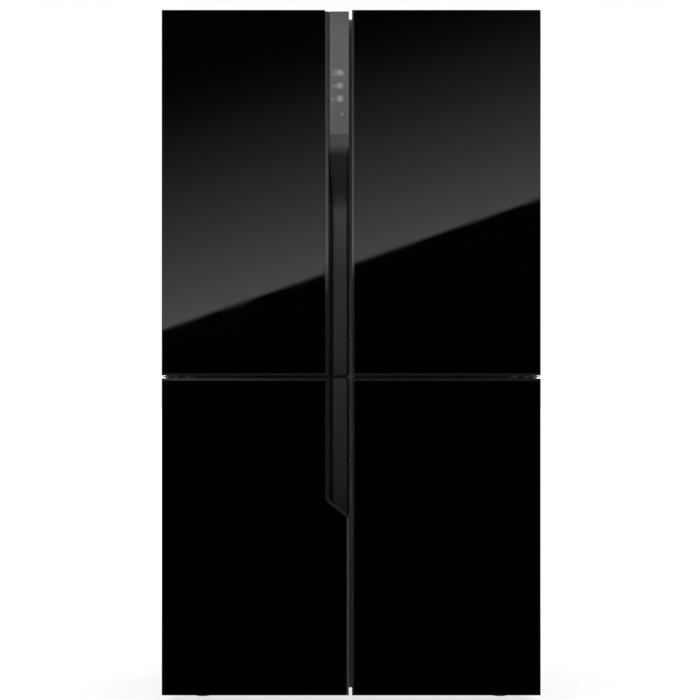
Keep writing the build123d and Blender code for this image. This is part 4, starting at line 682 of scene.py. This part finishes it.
def skin(loops, endless=False):
    """Faces through loops of equally many points, with closed ends or back to the first loop."""
    count = len(loops[0])
    total = count * len(loops)
    last = total - count
    faces = [(k + i, k + (i + 1) % count, (k + count + (i + 1) % count) % total, (k + count + i) % total)
             for k in range(0, total if endless else last, count) for i in range(count)]
    if not endless:
        faces += [tuple(range(count)), tuple(range(last, total))]
    return [point for loop in loops for point in loop], faces


def bar(start, end, outline, place):
    """An outline of (u, v) drawn out from start to end."""
    return skin([[place(along, u, v) for u, v in outline] for along in (start, end)])


def corner_arcs(low, high, radius, steps):
    """Arc centres of a rectangle's corners with directions from them; no steps gives sharp corners."""
    way = []
    for turn, (sx, sy) in enumerate(((1, 1), (-1, 1), (-1, -1), (1, -1))):
        centre = (high[0] - radius if sx > 0 else low[0] + radius,
                  high[1] - radius if sy > 0 else low[1] + radius)
        angles = [math.pi / 2 * (turn + i / steps) for i in range(steps + 1)] if steps else []
        way += [(centre, (math.cos(a), math.sin(a))) for a in angles] or [(centre, (sx, sy))]
    return way


def ring(low, high, section, place, radius=0.0, steps=0):
    """A section of (outwards, along) carried round a rectangle."""
    loops = [[place(along, cx + ox * (radius + out), cy + oy * (radius + out)) for out, along in section]
             for (cx, cy), (ox, oy) in corner_arcs(low, high, radius, steps)]
    return skin(loops, endless=True)


print("a square bar has", len(bar(0, 1, ((0, 0), (1, 0), (1, 1), (0, 1)), along_x)[1]), "faces")

# %% [markdown]
# ## Door seals
# A refrigerator seal is one extrusion of soft PVC: a flat foot that clips into the door, two
# bellows folds that take up the gap, and a pocket that holds a magnet. Four lengths are cut
# at 45 degrees and welded. So the section is drawn once and carried round with mitred corners.

# %% Bellows seals
SEAL_HALF = 7.0
FOLDS = ((SEAL_HALF, 0.0), (SEAL_HALF, 0.12), (4.2, 0.2), (6.4, 0.36), (3.8, 0.5), (6.0, 0.6), (6.8, 0.68),
         (6.8, 0.92), (5.6, 1.0))   # half width in mm, and share of the depth
for door in DOORS:
    low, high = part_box(f"{door}_gasket")
    half = [(out * MM, low.y + share * (high.y - low.y)) for out, share in FOLDS]
    section = half + [(-out, y) for out, y in reversed(half)]
    inset = SEAL_HALF * MM
    seal = ring((low.x + inset, low.z + inset), (high.x - inset, high.z - inset), section, along_y)
    seal = piece(f"{door}_bellows_seal", shape("bellows_seal", [seal]), door, pvc_grey)
    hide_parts(f"{door}_gasket")
print("bellows seals", len(DOORS))

# %% [markdown]
# ## Strips on the frame
# Black strips cover the middle beam of the front frame between the seals of the upper and lower
# doors, one for each column, with the upright of the frame bare between them. They are clipped-on
# extrusions with sloping sides, so each is one outline drawn out along the beam.

# %% Strips on the middle beam
STRIP_START = 9 * MM        # from the middle of the gap between the columns
STRIP_END = 414 * MM        # clear of the middle hinges' flanges
STRIP_PROUD = 2 * MM
STRIP_FOOT = 1 * MM         # clear of the seals at the frame
STRIP_TOP = 3 * MM          # and at the face of the strip
seal_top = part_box("lower_left_door_gasket")[1].z
seal_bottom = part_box("upper_left_door_gasket")[0].z
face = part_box("front_cross_frame")[0].y
strip = [(face, seal_top + STRIP_FOOT), (face - STRIP_PROUD, seal_top + STRIP_TOP),
         (face - STRIP_PROUD, seal_bottom - STRIP_TOP), (face, seal_bottom - STRIP_FOOT)]
parts = [bar(GAP_X + side * STRIP_START, side * STRIP_END, strip, along_x) for word, side in SIDES]
piece("frame_beam_strips", shape("frame_beam_strips", parts, 0.4 * MM), "cabinet", pp_black)
print("between the seals", round((seal_bottom - seal_top) / MM, 1), "mm")

# %% [markdown]
# ## Trims on shelves, bins and drawers
# Glass shelves carry a moulded trim that grips the front edge and stops spills, and a lower
# one at the back. Bins have a thickened rim. Drawer fronts have a raised bead that stiffens
# the thin wall. All are straight or ring-shaped mouldings, so bars and rings make them.

# %% Shelf trims
SHELVES = 3
SHELF_INNER = 35.0 * MM     # from the middle of the cabinet to a shelf's inner end
SHELF_STEP = 215.0 * MM
FRONT_TRIM = ((-12, -5), (-14, -3), (-14, 5), (-12, 6.2), (8, 6.2), (8, 4.4), (-2, 4.4), (-2, -0.4),
              (6, -0.4), (6, -5))
BACK_TRIM = ((-6, -3), (2, -3), (2, 12), (0, 12), (0, 6), (-6, 6), (-6, 4.2), (-0.4, 4.2), (-0.4, -0.4),
             (-6, -0.4))
low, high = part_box("glass_shelves")
parts = []
for word, side in SIDES:
    ends = sorted((side * SHELF_INNER, side * high.x))
    for shelf in range(SHELVES):
        z = low.z + SHELF_STEP * shelf
        for y, trim in ((low.y, FRONT_TRIM), (high.y, BACK_TRIM)):
            parts.append(bar(*ends, [(y + u * MM, z + v * MM) for u, v in trim], along_x))
piece("shelf_trims", shape("shelf_trims", parts, 0.5 * MM), "cabinet", abs_white)
print("shelf trims", len(parts))

# %% Bin rims
BINS = 3
BIN_STEP = 275.0 * MM
BIN_TALL = 100.0 * MM
BIN_CORNER = 14 * MM
RIM_PROUD = 0.9
RIM = ((RIM_PROUD, 1.2), (RIM_PROUD, -9), (0.1, -9), (0.1, 0.1), (-2.6, 0.1), (-2.6, -5), (-3.4, -5),
       (-3.4, 1.2))
CORNER_STEPS = 6
for word, side in SIDES:
    low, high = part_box(f"upper_{word}_bins")
    parts = []
    for level in range(BINS):
        top = low.z + BIN_STEP * level + BIN_TALL
        section = [(out * MM, top + up * MM) for out, up in RIM]
        parts.append(ring((low.x, low.y + RIM_PROUD * MM), (high.x, high.y), section, along_z, BIN_CORNER,
                          CORNER_STEPS))
    piece(f"upper_{word}_bin_rims", shape("bin_rims", parts), f"upper_{word}_door", abs_white)
print("bin rims", BINS * len(SIDES))

# %% Drawer beads
PULL = 12.0 * MM            # the pull stands out this far before the drawer's front
BEAD = ((3.0, 0.0), (2.2, -0.9), (0.0, -1.4), (-2.2, -0.9), (-3.0, 0.0))
BEAD_SIDE = 26 * MM
BEAD_FOOT = 24 * MM
BEAD_HEAD = 44 * MM         # below the pull
BEAD_CORNER = 16 * MM
for drawer in DRAWERS:
    low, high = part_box(drawer)
    section = [(out * MM, low.y + PULL + proud * MM) for out, proud in BEAD]
    bead = ring((low.x + BEAD_SIDE, low.z + BEAD_FOOT), (high.x - BEAD_SIDE, high.z - BEAD_HEAD), section,
                along_y, BEAD_CORNER, CORNER_STEPS)
    piece(f"{drawer}_bead", shape("drawer_bead", [bead]), drawer, gpps_frosted)
print("drawer beads", len(DRAWERS))

# %% [markdown]
# ## Touch display
# The display is a sheet of grey acrylic with signs in print that light from behind. It stands in
# a shadow groove over the bevel of the grip. The signs are plain shapes: a dome, two pads with a
# faint mark each, and a dot. Light spreads in the sheet, so each sign is a faint halo, some with a
# bright core on it, as thin solids, because a layer of print has an edge that catches light. Their
# glow is painted: haloes and cores are light grey colours, and nothing emits.

# %% Display sheet
SHEET_SET_BACK = 0.3 * MM   # room for the signs before the sheet
SHEET_DEEP = 2.4 * MM
SHEET_SLOPE = 0.6 * MM      # the top edge falls this far towards the front
low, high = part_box("display_panel")
face = low.y
sheet = [(face + SHEET_SET_BACK, low.z), (face + SHEET_SET_BACK, high.z - SHEET_SLOPE),
         (face + SHEET_DEEP, high.z), (face + SHEET_DEEP, low.z)]
sheet = shape("display_sheet", [bar(low.x, high.x, sheet, along_x)], 0.15 * MM)
display = piece("display_sheet", sheet, "upper_left_door", acrylic_grey)
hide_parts("display_panel")
print("display", round((high.z - low.z) / MM), "mm tall")

# %% Display signs
# Outlines are in millimetres, across and up. Haloes stand a little less proud than cores.
DOME_STEPS = 24
SIGN_ROOT = 0.5             # mm behind the display's face, as the next two
HALO_FRONT = 0.15
CORE_FRONT = 0.0


def pad(x, z, wide, tall, corner):
    """Outline of a rounded pad about its middle."""
    arcs = corner_arcs((x - wide / 2, z - tall / 2), (x + wide / 2, z + tall / 2), corner, CORNER_STEPS)
    return [(cx + corner * ox, cz + corner * oz) for (cx, cz), (ox, oz) in arcs]


def dome(x, z, half, rise):
    """Outline of a dome that stands on a level foot."""
    turns = [math.pi * i / DOME_STEPS for i in range(DOME_STEPS + 1)]
    return [(x + half * math.cos(a), z + rise * math.sin(a)) for a in turns]


HALOES = [dome(-33.0, 1627.5, 17.0, 20.0), pad(-29.6, 1603.3, 20, 18, 7), pad(-44.7, 1603.5, 10, 9, 4),
          pad(-29.1, 1569.5, 20, 19, 6), pad(-47.3, 1568.0, 10, 9, 4), pad(-23.9, 1529.2, 10, 9, 4)]
CORES = [pad(-28.5, 1637.0, 15, 11, 5), pad(-29.6, 1603.3, 11, 11, 5), pad(-29.1, 1569.5, 11, 12, 4.5)]
for name, outlines, finish, front in (("display_haloes", HALOES, halo_painted_glow, HALO_FRONT),
                                      ("display_cores", CORES, core_ink_and_glow, CORE_FRONT)):
    parts = [bar(face + SIGN_ROOT * MM, face + front * MM, [(u * MM, v * MM) for u, v in outline], along_y)
             for outline in outlines]
    piece(name, shape(name, parts), "upper_left_door", finish)
print("display signs", len(HALOES) + len(CORES))

# %% [markdown]
# ## Repeated fittings
# Screws along the back panel, vent grilles on the air ducts and ribs round the levelling feet
# all repeat one small part. A geometry tree does this: a grid or a ring of points, one part on
# each point, then real mesh again, because the exported model keeps no instances.

# %% One part on a grid
def geometry_tree(name, inputs):
    """Empty geometry tree with named inputs, and the sockets that give them."""
    tree = bpy.data.node_groups.new(name, "GeometryNodeTree")
    tree.interface.new_socket("Geometry", in_out="OUTPUT", socket_type="NodeSocketGeometry")
    for label, kind in inputs:
        tree.interface.new_socket(label, in_out="INPUT", socket_type=kind)
    return tree, add(tree, "NodeGroupInput").outputs


def end_tree(tree, instances, material):
    """Turn the instances to mesh, give it its material, and hand it out."""
    real = add(tree, "GeometryNodeRealizeInstances", {0: instances})
    dressed = add(tree, "GeometryNodeSetMaterial", {"Geometry": real, "Material": material})
    add(tree, "NodeGroupOutput", {0: dressed})


# A line of points stands on each point of another line, which makes the grid.
grid_tree, given = geometry_tree("part_on_grid", (
    ("Part", "NodeSocketObject"), ("Finish", "NodeSocketMaterial"), ("Start", "NodeSocketVector"),
    ("Count", "NodeSocketInt"), ("Step", "NodeSocketVector"), ("Rows", "NodeSocketInt"),
    ("Row Step", "NodeSocketVector")))
line = add(grid_tree, "GeometryNodeMeshLine", {
    "Count": given["Count"], "Start Location": given["Start"], "Offset": given["Step"]})
rows = add(grid_tree, "GeometryNodeMeshLine", {"Count": given["Rows"], "Offset": given["Row Step"]})
points = add(grid_tree, "GeometryNodeInstanceOnPoints", {"Points": line, "Instance": rows})
points = add(grid_tree, "GeometryNodeRealizeInstances", {0: points})
part = add(grid_tree, "GeometryNodeObjectInfo", {"Object": given["Part"]})
placed = add(grid_tree, "GeometryNodeInstanceOnPoints", {
    "Points": points, "Instance": part.outputs["Geometry"]})
end_tree(grid_tree, placed, given["Finish"])
print("grid tree nodes", len(grid_tree.nodes))

# %% One part on a ring
# Each point's index gives the angle that turns its part to face outwards.
round_tree, given = geometry_tree("part_on_ring", (
    ("Part", "NodeSocketObject"), ("Finish", "NodeSocketMaterial"), ("Centre", "NodeSocketVector"),
    ("Count", "NodeSocketInt"), ("Radius", "NodeSocketFloat")))
circle = add(round_tree, "GeometryNodeMeshCircle", {"Vertices": given["Count"], "Radius": given["Radius"]})
index = add(round_tree, "GeometryNodeInputIndex")
share = add(round_tree, "ShaderNodeMath", {0: index, 1: given["Count"]}, operation="DIVIDE")
angle = add(round_tree, "ShaderNodeMath", {0: share, 1: math.tau}, operation="MULTIPLY")
turn = add(round_tree, "ShaderNodeCombineXYZ", {"Z": angle})
part = add(round_tree, "GeometryNodeObjectInfo", {"Object": given["Part"]})
placed = add(round_tree, "GeometryNodeInstanceOnPoints", {
    "Points": circle, "Rotation": turn, "Instance": part.outputs["Geometry"]})
moved = add(round_tree, "GeometryNodeTranslateInstances", {
    0: placed, "Translation": given["Centre"], "Local Space": False})
end_tree(round_tree, moved, given["Finish"])
print("ring tree nodes", len(round_tree.nodes))


# %% Grow a piece
def grow(name, tree, values, body):
    """Piece that a geometry tree makes from named values."""
    holder = put(name, bpy.data.meshes.new(name))
    modifier = holder.modifiers.new("grow", "NODES")
    modifier.node_group = tree
    for item in tree.interface.items_tree:
        if item.in_out == "INPUT":
            modifier[item.identifier] = values[item.name]
    mesh = bpy.data.meshes.new_from_object(holder.evaluated_get(bpy.context.evaluated_depsgraph_get()))
    holder.modifiers.clear()
    bpy.data.objects.remove(holder)
    return piece(name, mesh, body, values["Finish"])


print("trees", grid_tree.name, round_tree.name)

# %% [markdown]
# ## Screws of the back
# Self-tapping screws with a washer head and a cross recess hold the back panel and the cover of
# the machine compartment. The recess could be cut with a boolean. A skin through loops of twelve
# points is cleaner: round loops for the head, then loops of the cross itself, the last one sunk.

# %% Screw with a cross recess
HEAD = ((5.2, 0.0), (5.2, 0.7), (4.2, 0.9), (4.0, 1.6), (3.3, 2.2))     # radius and height, in mm
RECESS_FLOOR = 1.0
CROSS_LONG = 2.4
CROSS_WIDE = 0.7
cross = []
for quarter in range(4):
    turn = math.pi / 2 * quarter
    for u, v in ((CROSS_LONG, -CROSS_WIDE), (CROSS_LONG, CROSS_WIDE), (CROSS_WIDE, CROSS_WIDE)):
        cross.append((u * math.cos(turn) - v * math.sin(turn), u * math.sin(turn) + v * math.cos(turn)))
turns = [math.atan2(z, x) for x, z in cross]
loops = [[(radius * MM * math.cos(a), proud * MM, radius * MM * math.sin(a)) for a in turns]
         for radius, proud in HEAD]
loops += [[(x * MM, proud * MM, z * MM) for x, z in cross] for proud in (HEAD[-1][1], RECESS_FLOOR)]
screw = put("cross_screw", shape("cross_screw", [skin(loops)]))
print("screw faces", len(screw.data.polygons))

# %% Rows of screws
low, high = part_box("back_panel")
cover_low, cover_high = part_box("machine_cover")
SCREW_INSET = 9.0 * MM
COLUMNS, LEVELS = 7, 8
across = (high.x - low.x - 2 * SCREW_INSET) / (COLUMNS - 1)
upright = (high.z - low.z - 2 * SCREW_INSET) / (LEVELS - 1)
corner = Vector((low.x + SCREW_INSET, high.y, low.z + SCREW_INSET))
cover_corner = Vector((cover_low.x + SCREW_INSET, cover_high.y, cover_low.z + SCREW_INSET))
cover_upright = cover_high.z - cover_low.z - 2 * SCREW_INSET
sideways = Vector((across, 0, 0))
SCREW_ROWS = (
    ("back_panel_side_screws", corner, LEVELS, (0, 0, upright), ((COLUMNS - 1) * across, 0, 0)),
    ("back_panel_end_screws", corner + sideways, COLUMNS - 2, sideways, (0, 0, (LEVELS - 1) * upright)),
    ("machine_cover_screws", cover_corner, COLUMNS, sideways, (0, 0, cover_upright)),
)
for name, start, count, step, row_step in SCREW_ROWS:
    grow(name, grid_tree, {"Part": screw, "Finish": screw_steel, "Start": start, "Count": count, "Step": step,
                           "Rows": 2, "Row Step": row_step}, "cabinet")
print("back screws", sum(2 * count for name, start, count, step, row_step in SCREW_ROWS))

# %% [markdown]
# ## Bead and hem of the back panel
# A thin sheet drums, so a rounded bead is pressed into it all round, and its lower edge is folded
# flat on itself as a smooth strip over the machine cover. Both stand on the flat CAD sheet as
# shallow mouldings: a ring with wide corners, and a bar.

# %% Pressed bead and folded hem
PRESSED = ((9, 0), (6, 1.6), (2, 2.2), (-2, 2.2), (-6, 1.6), (-9, 0))
PRESSED_SIDE = 60 * MM
PRESSED_END = 70 * MM
PRESSED_CORNER = 40 * MM
PRESSED_STEPS = 10
HEM = ((0, 26), (1.4, 25), (1.6, 21), (1.4, 17), (0, 16))   # proud of the sheet, and above its foot
HEM_SHORT = 2 * MM          # at each end
section = [(out * MM, high.y + proud * MM) for out, proud in PRESSED]
bead = ring((low.x + PRESSED_SIDE, low.z + PRESSED_END), (high.x - PRESSED_SIDE, high.z - PRESSED_END),
            section, along_y, PRESSED_CORNER, PRESSED_STEPS)
piece("back_panel_bead", shape("back_panel_bead", [bead]), "cabinet", zinc)
hem = [(high.y + proud * MM, low.z + up * MM) for proud, up in HEM]
hem = bar(low.x + HEM_SHORT, high.x - HEM_SHORT, hem, along_x)
piece("back_panel_hem", shape("back_panel_hem", [hem]), "cabinet", aluminium)
print("hem", round((high.x - low.x - 2 * HEM_SHORT) / MM), "mm")

# %% [markdown]
# ## Vent grilles of the air ducts
# Cold air leaves the ducts through slots. One grille is a bevelled frame with upright fins,
# moulded with the duct cover. It is made once at the origin, and the grid tree sets it on the
# slots: two columns of them in the fridge, and one in the freezer.

# %% Vent grilles
VENT_HALF = 60.0 * MM
VENT_TALL = 8.0 * MM
VENT_CORNER = 2 * MM
VENT_CORNER_STEPS = 4
VENT_FRAME = ((5, 0), (4, -1.4), (0.4, -1.8), (-0.6, -1.2), (-0.6, 2.4), (0.4, 2.4), (0.4, 0))
FINS = 15
FIN = ((-0.7, -0.9), (0.7, -0.9), (0.7, 2.3), (-0.7, 2.3))
section = [(out * MM, proud * MM) for out, proud in VENT_FRAME]
parts = [ring((-VENT_HALF, 0), (VENT_HALF, VENT_TALL), section, along_y, VENT_CORNER, VENT_CORNER_STEPS)]
for i in range(FINS):
    x = -VENT_HALF + 2 * VENT_HALF * (i + 0.5) / FINS
    parts.append(bar(0, VENT_TALL, [(x + u * MM, v * MM) for u, v in FIN], along_z))
grille = put("vent_grille", shape("vent_grille", parts))

VENT_STEP = 105.0 * MM
DUCT_MIDDLE = 231.5 * MM    # from the middle of the cabinet
# Compartment, side, face of the duct, half a step below the lowest slot, slots, columns.
VENTS = (("fridge", -1, 236 * MM, 1084.3 * MM, 5, 2), ("freezer", 1, 201 * MM, 312 * MM, 4, 1))
for word, side, y, z, count, columns in VENTS:
    grow(f"{word}_vent_grilles", grid_tree, {
        "Part": grille, "Finish": hips_white, "Start": (side * DUCT_MIDDLE, y, z + 0.5 * VENT_STEP),
        "Count": count, "Step": (0, 0, VENT_STEP), "Rows": columns, "Row Step": (2 * DUCT_MIDDLE, 0, 0)},
        "cabinet")
print("vent grilles", sum(vent[-2] * vent[-1] for vent in VENTS))

# %% [markdown]
# ## Ribs of the levelling feet
# A foot is turned by hand, so its rim has small ribs to grip. One rib is a short bar with
# rounded edges, and the ring tree sets thirty of them round each foot.

# %% Foot ribs
RIBS = 30
RIB = ((-0.6, -0.8), (0.5, -0.6), (0.5, 0.6), (-0.6, 0.8))
RIB_TALL = 5.0 * MM
RIB_Z = 2.4 * MM            # foot of a rib above the floor
RIB_SUNK = 0.4 * MM
rib = bar(0, RIB_TALL, [(u * MM, v * MM) for u, v in RIB], along_z)
rib = put("foot_rib", shape("foot_rib", [rib], 0.2 * MM))
for word, side in SIDES:
    low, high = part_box(f"front_foot_{word}")
    middle = (low + high) / 2
    grow(f"front_foot_{word}_ribs", round_tree, {
        "Part": rib, "Finish": pp_black, "Centre": (middle.x, middle.y, RIB_Z), "Count": RIBS,
        "Radius": (high.x - low.x) / 2 - RIB_SUNK}, f"front_foot_{word}")
for made in (screw, grille, rib):
    bpy.data.objects.remove(made)
print("foot ribs", RIBS * len(SIDES))

# %% [markdown]
# ## Size and end
# The box of the dressed model is printed.

# %% Finish
low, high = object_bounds()
print("visual box", [round(v, 4) for v in high - low])
